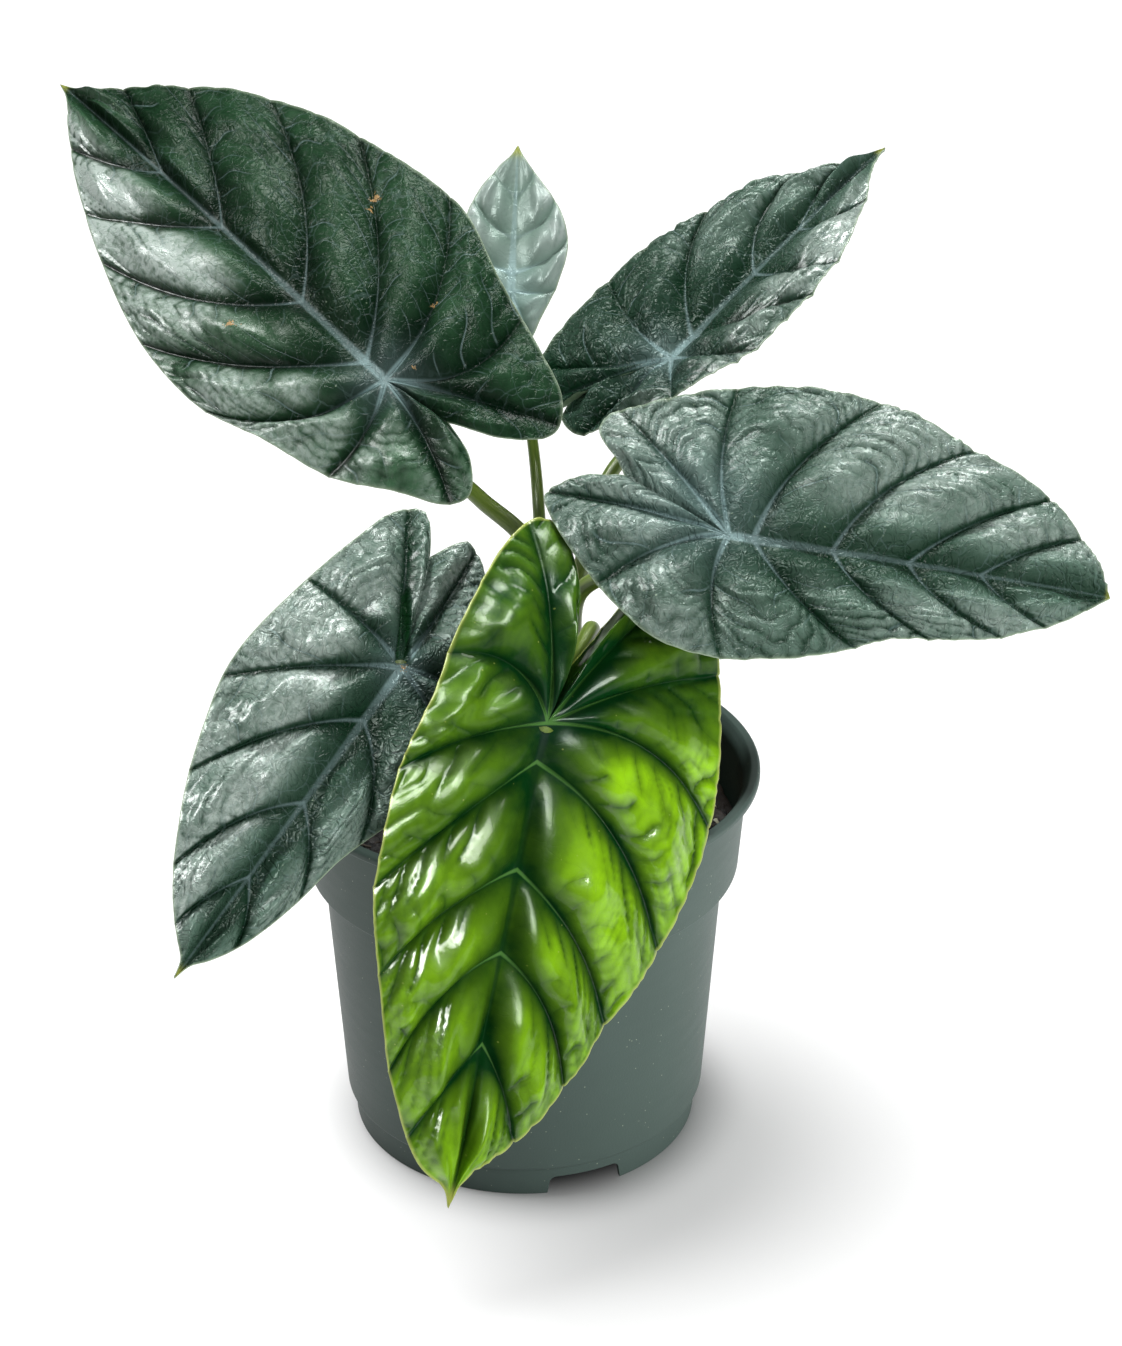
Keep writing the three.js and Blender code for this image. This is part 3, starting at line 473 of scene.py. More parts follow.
def ripples(net):
    """Fine swellings that cross a pillow in arcs: 0 in the troughs, 1 on the crests, and their strength"""
    draws = np.random.default_rng(net["key"] + 900)
    spacing = draws.uniform(4.0, 5.5)
    arc = net["width"] * draws.uniform(0.2, 0.45) * (2 * net["across"] - 1) ** 2
    wander = 1.7 * np.sin(net["run"] * 0.17 + draws.uniform(0, 6)) + 0.8 * np.sin(net["from_vein"] * 0.6)
    beat = (net["run"] + arc + wander) / spacing + draws.uniform(0, 1)
    strength = draws.uniform(0.15, 1.0, RIPPLE_STRENGTHS)[np.floor(beat).astype(int) % RIPPLE_STRENGTHS]
    swelling = np.abs(np.sin(np.pi * beat)) ** 0.75
    return swelling, strength * smoothstep(net["along"], 0.25, 0.75) * smoothstep(net["width"], 6, 14)


def scallops(net):
    """Short furrows that run in from the margin: 0 in them, 1 on the swellings between, and their strength"""
    draws = np.random.default_rng(net["key"] + 300)
    count = np.maximum(1, np.round(net["width"][-1:] / draws.uniform(7, 9.5)))
    slant = draws.uniform(-0.25, 0.25) * (1 - net["along"])
    beat = net["across"] * count + slant * count
    swelling = np.abs(np.sin(np.pi * beat)) ** 0.6
    depths = draws.uniform(0.3, 1.0, BRANCH_STRENGTHS)[np.round(beat).astype(int) % BRANCH_STRENGTHS]
    return swelling, depths * smoothstep(net["along"], 0.55, 0.9) * smoothstep(net["width"], 8, 16)


def marks(leaf, u, v):
    """The scars of a blade, and the pocket of a sinus whose lobes have grown together, sunk and darkened with
    painted shade: 0 to 1 each
    """
    scars = np.zeros_like(u)
    for at_u, at_v, radius in leaf["scars"]:
        scars = np.maximum(scars, np.exp(-(((u - at_u) ** 2 + (v - at_v) ** 2) / radius**2)))
    if not leaf["pocket"]:
        return scars, np.zeros_like(u)
    end = np.array(leaf["pocket"], float)
    length = np.linalg.norm(end)
    forward = (u * end[0] + v * end[1]) / length
    sideways = np.abs(u * end[1] - v * end[0]) / length
    breadth = 3.6 - 2.4 * np.clip(forward / length, 0, 1)
    pocket = (1 - smoothstep(sideways, 0.5 * breadth, breadth)) * smoothstep(forward, 0, 3)
    return scars, pocket * (1 - smoothstep(forward, length - 4, length))


def halves(leaf, title, u, v):
    """A value that goes from lobe to petiole and on to the tip, with numbers of its own on each side"""
    sides = []
    for side in ("left", "right"):
        lobe, middle, tip = leaf[f"{side}_{title}"]
        past_lobe = (middle - lobe) * smoothstep(u, -15, 10)
        sides.append(lobe + past_lobe + (tip - middle) * smoothstep(u, 0, 0.85 * leaf["tip"]))
    left, right = sides
    return right + (left - right) * smoothstep(v, -8, 8)


def blade_values(leaf, net, relief):
    """Lift, depth, and the values that colour a panel's points"""
    u, v = net["flat"][..., 0], net["flat"][..., 1]
    along, from_vein = net["along"], net["from_vein"]
    towards_tip = np.clip(u / leaf["tip"], 0, 1)
    trough, beat, branch = furrows(net)
    swelling, rippled = ripples(net)
    wave, waved = scallops(net)
    scar, pocket = marks(leaf, u, v)

    # The veins: how wide they are, and how near
    vein_radius = VEIN_RADIUS + VEIN_GAIN * (1 - along) ** 2
    vein = np.exp(-((from_vein / vein_radius) ** 2)) * (1 - 0.7 * along)
    rib_radius = RIB_RADIUS + RIB_GAIN * (1 - towards_tip)
    rib = np.exp(-((v / rib_radius) ** 2)) * smoothstep(u, -2, 3)

    # The relief: pillows with furrows and fine swellings, a channel along the midrib, and round veins
    pillow = quilt(leaf, net, relief)
    edge_part = 0.45 + 0.55 * smoothstep(along, 0.3, 0.8)
    lift = pillow - leaf["furrows"] * trough * edge_part * np.minimum(1, pillow / 1.5)
    lift = lift + leaf["ripples"] * swelling * rippled * np.clip(np.sin(np.pi * net["across"]), 0, 1) ** 0.5
    lift = lift - leaf["scallops"] * (1 - wave) * waved
    channel = leaf["channel"] * np.exp(-((v / CHANNEL_WIDTH) ** 2)) * smoothstep(u, -4, 16)
    lift = lift - channel * (1 - smoothstep(u, 0.6 * leaf["tip"], leaf["tip"]))
    lift = lift + 0.3 * vein_radius * vein * smoothstep(along, 0, 0.05) + 0.25 * rib_radius * rib
    lift = lift - POCKET_DEPTH * pocket
    depth = BLADE_DEPTH + 1.2 * rib * rib_radius / 2 + 0.55 * vein * (1 - along)
    depth = depth - 0.3 * smoothstep(along, 0.97, 1)

    # The colours: light on the pillows, dark beside veins and midrib, and painted shade in the furrows and
    # troughs
    shade = leaf["shade"] * (1.1 + 3.2 * (1 - along))
    dark_near, dark_far = leaf["dark"]
    from_rib = smoothstep(net["run"], 0.1 * dark_far, dark_near + (dark_far - dark_near) * towards_tip)
    # Painted light and shade: each half of a blade, and each lobe, is made lighter or darker as the light
    # falls on it
    crest = halves(leaf, "tone", u, v) * (1 - np.exp(-((from_vein / shade) ** 1.5))) * (0.2 + 0.8 * from_rib)
    # Painted shade in the furrows of the side veins, in the troughs between the fine swellings, in the short
    # furrows at the margin, and in the pocket
    crest = crest * (1 - 0.55 * trough) * (1 - leaf["arcs"] * rippled * (1 - swelling))
    crest = crest * (1 - 0.5 * waved * (1 - wave)) * (1 - pocket)
    # Gloss of the pillows, and the painted silver sheen in their colour, strongest on one half
    sheen = halves(leaf, "sheen", u, v) * smoothstep(net["run"], 8, 30)
    heart_u, heart_v, heart_radius = leaf["heart"]
    from_heart = np.hypot(u - heart_u, v - heart_v) / heart_radius
    return {
        "lift": lift, "depth": depth,
        "vein": vein,
        "midrib": rib * (1 - 0.5 * towards_tip),
        "side_vein": trough,
        "beat": beat,
        "branch": branch,
        "crest": crest,
        "sheen": sheen * (1 - 0.9 * rippled * (1 - swelling)),
        "hub": np.exp(-(from_heart**2)),
        "rim": smoothstep(along * net["reach"] - net["reach"], -0.9, -0.2),
        "tip": np.exp(-(((leaf["tip"] - u) / leaf["tip_length"]) ** 4)),
        "scar": scar,
        "pocket": pocket,
    }


def blade_frame(leaf):
    """The blade's own directions: towards the tip, to its left, and out of its upper face"""
    heading, slope, roll = np.radians(leaf["turn"])
    ahead = np.array([np.cos(heading) * np.cos(slope), np.sin(heading) * np.cos(slope), np.sin(slope)])
    level = np.array([-np.sin(heading), np.cos(heading), 0])
    up = np.cross(ahead, level)
    return ahead, level * np.cos(roll) + up * np.sin(roll), up * np.cos(roll) - level * np.sin(roll)


def bend_blade(leaf, flat, lift):
    """Bends the flat blade and sets it in place; lift is the height over its middle surface"""
    ahead, side, normal = blade_frame(leaf)
    u, v = flat[:, 0], flat[:, 1]
    bend = np.radians(np.where(u > 0, leaf["droop"], leaf["lobe_droop"])) / 100
    angle = bend * u
    rise = leaf["cup"] * v**2 / 2500 + leaf["fold"] * (np.sqrt(v**2 + 36) - 6) + lift
    outward = np.cos(angle)[:, None] * normal + np.sin(angle)[:, None] * ahead
    forward = (np.sin(angle) / bend)[:, None] * ahead - ((1 - np.cos(angle)) / bend)[:, None] * normal
    return np.array(leaf["hub"]) + forward + v[:, None] * side + rise[:, None] * outward


def blade_net(leaf, relief):
    """All panels as one net: flat points, triangles, the ring of the margin, and the points' values"""
    margins = {}
    for side in ("left", "right"):
        margin, shares = smooth_line([(leaf["tip"], 0), *leaf[side], leaf["sinus"]])
        margins[side] = (margin, shares, side_veins(leaf, side, margin, shares))
    flats, cells, ring, values = [], [], [], {}
    count = 0
    for side in ("left", "right"):
        side_ring = []
        for panel in range(len(margins[side][2]) - 1):
            net = panel_net(leaf, side, panel, margins)
            rows, columns = net["across"].shape
            index = count + np.arange(rows * columns).reshape(rows, columns)
            count += rows * columns
            flats.append(net["flat"].reshape(-1, 2))
            for title, value in blade_values(leaf, net, relief).items():
                values.setdefault(title, []).append(value.ravel())
            corners = [index[:-1, :-1], index[:-1, 1:], index[1:, 1:], index[1:, :-1]]
            quads = np.stack([c.ravel() for c in corners], -1)
            cells.append(quads[:, ::-1] if side == "left" else quads)
            side_ring.extend(index[-1])
        ring.extend(side_ring if side == "left" else side_ring[::-1])
    return weld(np.vstack(flats), np.vstack(cells), ring, values)


def weld(flat, cells, ring, values):
    """Joins the points that panels share, and splits every cell along its shorter diagonal"""
    keys = np.round(flat * WELD_STEPS).astype(np.int64)
    _, chosen, inverse = np.unique(keys, axis=0, return_index=True, return_inverse=True)
    inverse = inverse.reshape(-1)
    cells = inverse[cells]
    flat = flat[chosen]
    a, b, c, d = cells.T
    short = np.linalg.norm(flat[a] - flat[c], axis=1) <= np.linalg.norm(flat[b] - flat[d], axis=1)
    one = np.where(short[:, None], np.stack([a, b, c], -1), np.stack([a, b, d], -1))
    two = np.where(short[:, None], np.stack([a, c, d], -1), np.stack([b, c, d], -1))
    triangles = np.vstack([one, two])
    whole = (triangles[:, 0] != triangles[:, 1]) & (triangles[:, 1] != triangles[:, 2])
    whole &= triangles[:, 2] != triangles[:, 0]
    ring = inverse[np.array(ring)]
    ring = ring[ring != np.roll(ring, -1)]
    merged = {title: np.concatenate(parts)[chosen] for title, parts in values.items()}
    return flat, triangles[whole], ring, merged


def make_blade(name, leaf, relief, upper, under, edge):
    """A thin solid blade: upper face, lower face, and a round rim between them, each with its own finish"""
    flat, triangles, ring, values = blade_net(leaf, relief * leaf["quilting"])
    count = len(flat)
    top = bend_blade(leaf, flat, values["lift"])
    bottom = bend_blade(leaf, flat, values["lift"] - values["depth"])
    around = np.roll(ring, -1)
    outward = np.cross(unit(top[around] - top[np.roll(ring, 1)] + 1e-9), unit(top[ring] - bottom[ring]))
    rim = (top[ring] + bottom[ring]) / 2 + RIM_BULGE * unit(outward)
    rim_index = 2 * count + np.arange(len(ring))
    rim_next = np.roll(rim_index, -1)
    bands = [(ring, rim_index, rim_next), (ring, rim_next, around),
             (rim_index, ring + count, around + count), (rim_index, around + count, rim_next)]
    bands = [np.stack(corners, -1) for corners in bands]
    faces = np.vstack([triangles, triangles[:, ::-1] + count, *bands])
    sorts = np.concatenate([np.zeros(len(triangles)), np.ones(len(triangles)), np.full(len(ring) * 4, 2)])
    points = np.vstack([top, bottom, rim])
    order = np.concatenate([np.arange(count), np.arange(count), ring])
    numbers = {title: values[title][order] for title in POINT_VALUES}
    own_pattern = np.full(count, 10.0 * leaf["seed"])
    vectors = {"flat": np.column_stack([flat, own_pattern])[order] * MM}
    return mesh_object(name, points, faces, [upper, under, edge], sorts, numbers, vectors)


# ---- petioles


def swept(line, radii, sides, shape=None):
    """A closed tube along a line; shape(turn, share) gives its radius as a share of the round one

    Gives its points, its faces, each point's place across and along it, and each point's share of its length.
    """
    line = np.asarray(line, float)
    ways = unit(np.gradient(line, axis=0))
    spokes = [unit(np.cross(ways[0], np.array([0.3, 0.9, 0.2])))]
    for way in ways[1:]:
        spoke = spokes[-1] - way * np.dot(spokes[-1], way)
        spokes.append(unit(spoke))
    spokes = np.array(spokes)
    others = np.cross(ways, spokes)
    turns = all_round(sides)
    shares = np.linspace(0, 1, len(line))
    radius = np.asarray(radii, float)[:, None] * np.ones(sides)
    if shape:
        radius = radius * shape(turns[None], shares[:, None])
    offsets = spokes[:, None] * np.cos(turns)[None, :, None] + others[:, None] * np.sin(turns)[None, :, None]
    points = (line[:, None] + offsets * radius[..., None]).reshape(-1, 3)
    index, _, quads = between_rings(len(line), sides)
    quads = [*quads.tolist(), index[0][::-1].tolist(), index[-1].tolist()]
    length = np.concatenate([[0], np.cumsum(np.linalg.norm(np.diff(line, axis=0), axis=1))])
    round_part = np.stack([np.cos(turns), np.sin(turns)], -1)[None] * np.asarray(radii)[:, None, None]
    place = np.concatenate([round_part, np.repeat(length[:, None, None], sides, 1)], -1).reshape(-1, 3)
    return points, quads, place, np.repeat(shares, sides)


def make_petiole(name, leaf, skin):
    """A leaf stalk, from its foot in the mix to the under side of its blade"""
    foot_x, foot_y = leaf["foot"]
    _, _, normal = blade_frame(leaf)
    hub = np.array(leaf["hub"])
    route = [(foot_x, foot_y, SOIL_LEVEL - STEM_FOOT_DEPTH), (foot_x, foot_y, SOIL_LEVEL + 6), *leaf["stem"],
             tuple(hub - STEM_KNEE * normal), tuple(hub)]
    line, shares = smooth_line(route)
    at = np.linspace(0, 1, STEM_RINGS)
    path = point_on(line, shares, at)
    path[-1] = hub - STEM_TOP_DEPTH * normal
    foot, middle, top = leaf["radii"]
    radii = foot + (middle - foot) * smoothstep(at, 0.12, 0.5) + (top - middle) * smoothstep(at, 0.4, 1)
    radii = radii + 0.9 * smoothstep(at, 0.955, 1)

    def sheathed(turns, share):
        """Round above, and below it a sheath with a furrow between two thin wings"""
        sheath = 1 - smoothstep(share, 0.3, 0.52)
        facing = np.angle(np.exp(1j * (turns - 1.2 - 0.8 * share)))
        furrow = 0.34 * np.exp(-((facing / 0.26) ** 2))
        wings = 0.16 * (np.exp(-(((facing - 0.5) / 0.17) ** 2)) + np.exp(-(((facing + 0.5) / 0.17) ** 2)))
        flutes = 0.012 * np.sin(11 * turns + 2 * share)
        return 1 + sheath * (wings - furrow) + flutes

    points, quads, place, share_values = swept(path, radii, STEM_SIDES, sheathed)
    numbers, vectors = {"share": share_values}, {"place": place * MM}
    return mesh_object(name, points, quads, [skin], numbers=numbers, vectors=vectors)


# ---- pot


def rounded(profile, steps=4):
    """A closed or open outline of (radius, height, corner radius), with its corners turned into small arcs"""
    points = []
    for i, (radius, height, corner) in enumerate(profile):
        here = np.array([radius, height], float)
        if corner == 0 or i == 0 or i == len(profile) - 1:
            points.append(tuple(here))
            continue
        back = np.array(profile[i - 1][:2]) - here
        ahead = np.array(profile[i + 1][:2]) - here
        cut = min(corner, 0.45 * np.linalg.norm(back), 0.45 * np.linalg.norm(ahead))
        start, end = here + unit(back) * cut, here + unit(ahead) * cut
        for share in np.linspace(0, 1, steps + 1):
            points.append(tuple((1 - share) ** 2 * start + 2 * share * (1 - share) * here + share**2 * end))
    return points


def turned(profile, sides):
    """Turns an outline of (radius, height) that starts and ends on the axis about it"""
    middle = np.array(profile[1:-1], float)
    turns = all_round(sides)
    ring = np.stack([np.cos(turns), np.sin(turns)], -1)
    points = np.concatenate([middle[:, None, :1] * ring[None], np.repeat(middle[:, None, 1:], sides, 1)], -1)
    points = np.vstack([points.reshape(-1, 3), [(0, 0, profile[0][1]), (0, 0, profile[-1][1])]])
    index, after, quads = between_rings(len(middle), sides)
    first, last = len(points) - 2, len(points) - 1
    faces = quads.tolist()
    faces += [[first, b, a] for a, b in zip(index[0], after[0])]
    faces += [[last, a, b] for a, b in zip(index[-1], after[-1])]
    return points, faces


# Radius, height and corner radius, from the floor's underside round the foot, the outer wall and the lip
POT_OUTLINE = [
    (0, 9, 0), (59.6, 9, 0.8), (59.6, 0, 0.5), (61.5, 0, 0.6), (61.8, 11, 0.3), (64.4, 12.4, 0.9),
    (70.4, 100.9, 0.8), (74.8, 102.5, 0.4), (75.6, 103.3, 0.35), (78.2, 135.9, 0.8),
    (81.7, 136.7, 0.5), (82.5, 137.5, 0.3), (82.5, 139.2, 0.6), (81.7, 140, 0.4), (79.2, 140, 0.4),
    (78.4, 139.2, 0.6), (76.3, 135.1, 1.0), (73.7, 104.9, 1.0), (68.5, 100.9, 1.5), (62.5, 13, 1.4),
    (61, 11.5, 1.0), (0, 11.5, 0),
]

# The middle of the wall over the collar's step: its radius, in metres, is the foot plus height times slope
WALL_FOOT = 0.06567
WALL_SLOPE = 0.0861

# Drain notches through the foot ring and drain holes in the floor, in degrees and millimetres
NOTCH_ANGLES = (-70, 50, 170)
NOTCH_REACH = (52, 70)
NOTCH_WIDTH = 26
NOTCH_HEIGHT = 7
NOTCH_CORNER = 2.5
HOLE_COUNT = 6
HOLE_CIRCLE = 38
HOLE_RADIUS = 5

# Angle in degrees from which an edge of the pot stays sharp
SHARP_EDGE = 42


def notch_cutter(angle):
    """A wide arch with rounded upper corners, through the foot ring"""
    half, height, corner = NOTCH_WIDTH / 2, NOTCH_HEIGHT, NOTCH_CORNER
    outline = [(-half - 1, -2), (half + 1, -2)]
    for middle, start in ((half - corner, 0), (corner - half, 90)):
        for turn in np.radians(np.arange(start, start + 91, 15)):
            outline.append((middle + corner * math.cos(turn), height - corner * (1 - math.sin(turn))))
    count = len(outline)
    points = [(reach, x, z) for reach in NOTCH_REACH for x, z in outline]
    turned_points = np.array(points) @ np.array(Matrix.Rotation(angle, 3, "Z")).T
    faces = [list(range(count))[::-1], list(range(count, 2 * count))]
    faces += [[i, (i + 1) % count, (i + 1) % count + count, i + count] for i in range(count)]
    return mesh_object("notch_cutter", turned_points, faces, [])


def hole_cutter(angle):
    """A round rod through the floor"""
    points, faces = turned([(0, 5), (HOLE_RADIUS, 5), (HOLE_RADIUS, 15), (0, 15)], 40)
    middle = (HOLE_CIRCLE * math.cos(angle), HOLE_CIRCLE * math.sin(angle), 0)
    return mesh_object("hole_cutter", points + np.array(middle), faces, [])


def cut_away(thing, cutters):
    """Cuts the cutters out of the object, and removes them"""
    for tool in cutters:
        change = thing.modifiers.new(tool.name, "BOOLEAN")
        change.operation = "DIFFERENCE"
        change.solver = "EXACT"
        change.object = tool
    bpy.context.view_layer.update()
    shaped = bpy.data.meshes.new_from_object(thing.evaluated_get(bpy.context.evaluated_depsgraph_get()))
    thing.modifiers.clear()
    thing.data = shaped
    for tool in cutters:
        bpy.data.objects.remove(tool)


# ---- potting mix


def soil_height(x, y):
    """The uneven top of the mix: crossed waves and a low mound round the crown, as in the part's source"""
    waves = np.sin(x * 0.11 + 1) * np.cos(y * 0.13) + 0.6 * np.sin(x * 0.23 - y * 0.19 + 2)
    return SOIL_LEVEL + 0.96 * waves + 2.4 * np.exp(-(x * x + y * y) / 900)


def humps(x, y, draws, sizes):
    """Rounded unevenness: many low humps of about the given sizes and heights"""
    total = np.zeros_like(x)
    for size, height in sizes:
        for _ in range(6):
            turn, shift = draws.uniform(0, 2 * np.pi), draws.uniform(0, 2 * np.pi)
            length = size * draws.uniform(0.7, 1.4)
            wave = (x * np.cos(turn) + y * np.sin(turn)) * 2 * np.pi / length + shift
            total += height * np.sin(wave) * np.sin(wave * 0.37 + shift * 1.7)
    return total


def make_soil(name, material):
    """The mix as one solid: its uneven top, and the sides that fill the pot down to its floor"""
    draws = np.random.default_rng(SOIL_SEED)
    radii = np.concatenate([[0.4], np.linspace(1.2, SOIL_RADIUS, SOIL_RINGS)])
    turns = all_round(SOIL_SIDES)
    x = radii[:, None] * np.cos(turns)
    y = radii[:, None] * np.sin(turns)
    z = soil_height(x, y) + humps(x, y, draws, [(9, 0.35), (4, 0.22), (2, 0.12)])
    z = z - 0.8 * smoothstep(radii, SOIL_RADIUS - 2, SOIL_RADIUS)[:, None]
    top = np.stack([x, y, z], -1).reshape(-1, 3)
    skirts = [np.stack([radius * np.cos(turns), radius * np.sin(turns), np.full_like(turns, height)], -1)
              for radius, height in SOIL_SIDE]
    points = np.vstack([top, *skirts, [(0, 0, float(soil_height(0.0, 0.0))), (0, 0, SOIL_SIDE[-1][1])]])
    index, after, quads = between_rings(len(radii) + len(SOIL_SIDE), SOIL_SIDES)
    faces = quads[:, [0, 3, 2, 1]].tolist()
    centre, bottom = len(points) - 2, len(points) - 1
    faces += [[centre, a, b] for a, b in zip(index[0], after[0])]
    faces += [[bottom, b, a] for a, b in zip(index[-1], after[-1])]
    return mesh_object(name, points, faces, [material])


def ball(level):
    """The points and triangles of a round ball, split level times"""
    golden = (1 + 5**0.5) / 2
    points = [(-1, golden, 0), (1, golden, 0), (-1, -golden, 0), (1, -golden, 0),
              (0, -1, golden), (0, 1, golden), (0, -1, -golden), (0, 1, -golden),
              (golden, 0, -1), (golden, 0, 1), (-golden, 0, -1), (-golden, 0, 1)]
    faces = [(0, 11, 5), (0, 5, 1), (0, 1, 7), (0, 7, 10), (0, 10, 11), (1, 5, 9), (5, 11, 4), (11, 10, 2),
             (10, 7, 6), (7, 1, 8), (3, 9, 4), (3, 4, 2), (3, 2, 6), (3, 6, 8), (3, 8, 9), (4, 9, 5),
             (2, 4, 11), (6, 2, 10), (8, 6, 7), (9, 8, 1)]
    points = [tuple(unit(np.array(p, float))) for p in points]
    for _ in range(level):
        middles = {}

        def middle(a, b):
            key = (min(a, b), max(a, b))
            if key not in middles:
                middles[key] = len(points)
                points.append(tuple(unit(np.array(points[a]) + np.array(points[b]))))
            return middles[key]

        split = []
        for a, b, c in faces:
            ab, bc, ca = middle(a, b), middle(b, c), middle(c, a)
            split += [(a, ab, ca), (b, bc, ab), (c, ca, bc), (ab, bc, ca)]
        faces = split
    return np.array(points), np.array(faces)


def lumpy(points, draws, roughness, cuts=0):
    """Makes a ball irregular: broad lumps, and flats where pieces have broken off"""
    out = points.copy()
    for _ in range(5):
        way = unit(draws.normal(size=3))
        out *= 1 + roughness * np.sin(points @ way * draws.uniform(2, 5) + draws.uniform(0, 6))[:, None]
    for _ in range(cuts):
        way = unit(draws.normal(size=3))
        over = np.maximum(out @ way - draws.uniform(0.45, 0.75), 0)
        out = out - over[:, None] * way
    return out


def scatter(name, count, draws, make_one, place, material):
    """Many loose pieces as one mesh; each has a number of its own, from 0 to 1, for its colour"""
    parts = []
    for _ in range(count):
        points, faces = make_one(draws)
        spin = np.array(Matrix.Rotation(draws.uniform(0, 2 * math.pi), 3, "Z"))
        points = points @ spin.T + place(draws)
        parts.append((points, faces, np.full(len(points), draws.uniform())))
    return joined(name, parts, material, "tint")


def on_mix(radius, sunk):
    """A rule for places on the mix, few of them among the petioles"""

    def place(draws):
        while True:
            reach = math.sqrt(draws.uniform()) * radius
            turn = draws.uniform(0, 2 * math.pi)
            x, y = reach * math.cos(turn), reach * math.sin(turn)
            if math.hypot(x - CROWN_X, y) > CROWN_RADIUS or draws.uniform() < 0.15:
                return np.array([x, y, float(soil_height(x, y)) + sunk * draws.uniform(-1, 1)])

    return place


BALLS = [ball(level) for level in range(3)]


def perlite_grain(draws):
    """A nearly round white grain"""
    points, faces = BALLS[2]
    size = draws.uniform(0.7, 1.0) ** 2 * draws.choice([1.2, 1.9, 2.6])
    grain = lumpy(points, draws, 0.05) * size
    return grain * np.array([1, draws.uniform(0.75, 1), draws.uniform(0.7, 0.95)]), faces


def bark_chip(draws):
    """A broken chip that lies nearly flat"""
    points, faces = BALLS[2]
    chip = lumpy(points, draws, 0.06, 7)
    size = draws.uniform(2.2, 6.5)
    chip = chip * size * np.array([1.25, draws.uniform(0.5, 0.9), draws.uniform(0.25, 0.5)])
    roll = Matrix.Rotation(draws.uniform(-0.6, 0.6), 3, "X")
    pitch = Matrix.Rotation(draws.uniform(-0.5, 0.5), 3, "Y")
    return chip @ np.array(roll @ pitch).T, faces


def crumb(draws):
    """A small crumb of peat"""
    points, faces = BALLS[1]
    size = draws.uniform(0.4, 1.0) ** 1.5 * 2.1
    bit = lumpy(points, draws, 0.12, 2) * size
    return bit * np.array([1, draws.uniform(0.6, 1), draws.uniform(0.5, 0.9)]), faces


def fibre(draws):
    """A thin bent root or twig that lies on the mix"""
    length = draws.uniform(6, 22)
    along = np.linspace(-0.5, 0.5, 9)
    bend, twist = draws.uniform(-3, 3), draws.uniform(-1.5, 1.5)
    line = np.stack([along * length, bend * (4 * along**2 - 0.3) + twist * np.sin(7 * along),
                     0.9 + 0.8 * np.sin(4 * along + draws.uniform(0, 6))], -1)
    points, quads, _, _ = swept(line, np.full(9, draws.uniform(0.18, 0.5)), 6)
    triangles = [t for q in quads for t in ([q[0], q[i], q[i + 1]] for i in range(1, len(q) - 1))]
    return points, np.array(triangles)


# Dried sheaths: place on the mix, the way that each faces in degrees, its height, and the radius of its curl
SHEATHS = [(-3, 12, 200, 24, 5.0), (11, 15, 60, 30, 5.5), (18, -8, -40, 22, 5.0), (3, -12, -110, 26, 5.5),
           (-8, 0, 170, 18, 4.5)]
SHEATH_DEPTH = 0.45


def make_sheath(name, material):
    """Dried leaf sheaths that still stand round the crown: thin curled strips, wide at the foot"""
    draws = np.random.default_rng(SHEATH_SEED)
    rows, columns = 16, 9
    size = rows * columns
    parts = []
    for x, y, facing, height, radius in SHEATHS:
        up = np.linspace(0, 1, rows)[:, None]
        around = np.linspace(-1, 1, columns)[None]
        way = math.radians(facing)
        turn = way + around * math.radians(75) * (1 - 0.75 * up**1.5)
        lean = 3.5 * up**2 + 0.3 * np.sin(9 * up + 3 * around)
        curl = radius * (1 - 0.3 * up)
        level = SOIL_LEVEL - 3 + height * up + draws.uniform(-1, 1) + 0 * around
        inner = np.stack([x + lean * math.cos(way) + curl * np.cos(turn),
                          y + lean * math.sin(way) + curl * np.sin(turn), level], -1)
        middle = np.array([x, y, 0.0])
        out = inner - middle
        out[..., 2] = 0
        outer = inner + SHEATH_DEPTH * unit(out)
        points = np.vstack([inner.reshape(-1, 3), outer.reshape(-1, 3)])
        index = np.arange(size).reshape(rows, columns)
        sheet = np.stack([index[:-1, :-1], index[:-1, 1:], index[1:, 1:], index[1:, :-1]], -1).reshape(-1, 4)
        border = np.concatenate([index[0], index[1:, -1], index[-1, -2::-1], index[-2:0:-1, 0]])
        after = np.roll(border, -1)
        band = np.stack([border, border + size, after + size, after], -1)
        faces = np.vstack([sheet[:, ::-1], sheet + size, band])
        parts.append((points, faces, np.tile(np.repeat(up.ravel(), columns), 2)))
    return joined(name, parts, material, "share")


# ---- finishes


class Value:
    """A number that a node gives. An expression on it adds Math nodes."""

    def __init__(self, finish, socket):
        self.finish = finish
        self.socket = socket

    def math(self, operation, *others, reverse=False):
        terms = [self, *others]
        if reverse:
            terms.reverse()
        return self.finish.number("ShaderNodeMath", {"operation": operation}, terms)

    def __add__(self, other):
        return self.math("ADD", other)

    def __radd__(self, other):
        return self.math("ADD", other)

    def __sub__(self, other):
        return self.math("SUBTRACT", other)

    def __rsub__(self, other):
        return self.math("SUBTRACT", other, reverse=True)

    def __mul__(self, other):
        return self.math("MULTIPLY", other)

    def __rmul__(self, other):
        return self.math("MULTIPLY", other)

    def limited(self):
        return self.math("MAXIMUM", 0.0).math("MINIMUM", 1.0)

    def step(self, low, high):
        """0 below low, 1 above high, and smooth between"""
        sockets = {"Value": self, "From Min": low, "From Max": high}
        return self.finish.number("ShaderNodeMapRange", {"interpolation_type": "SMOOTHSTEP"}, sockets)


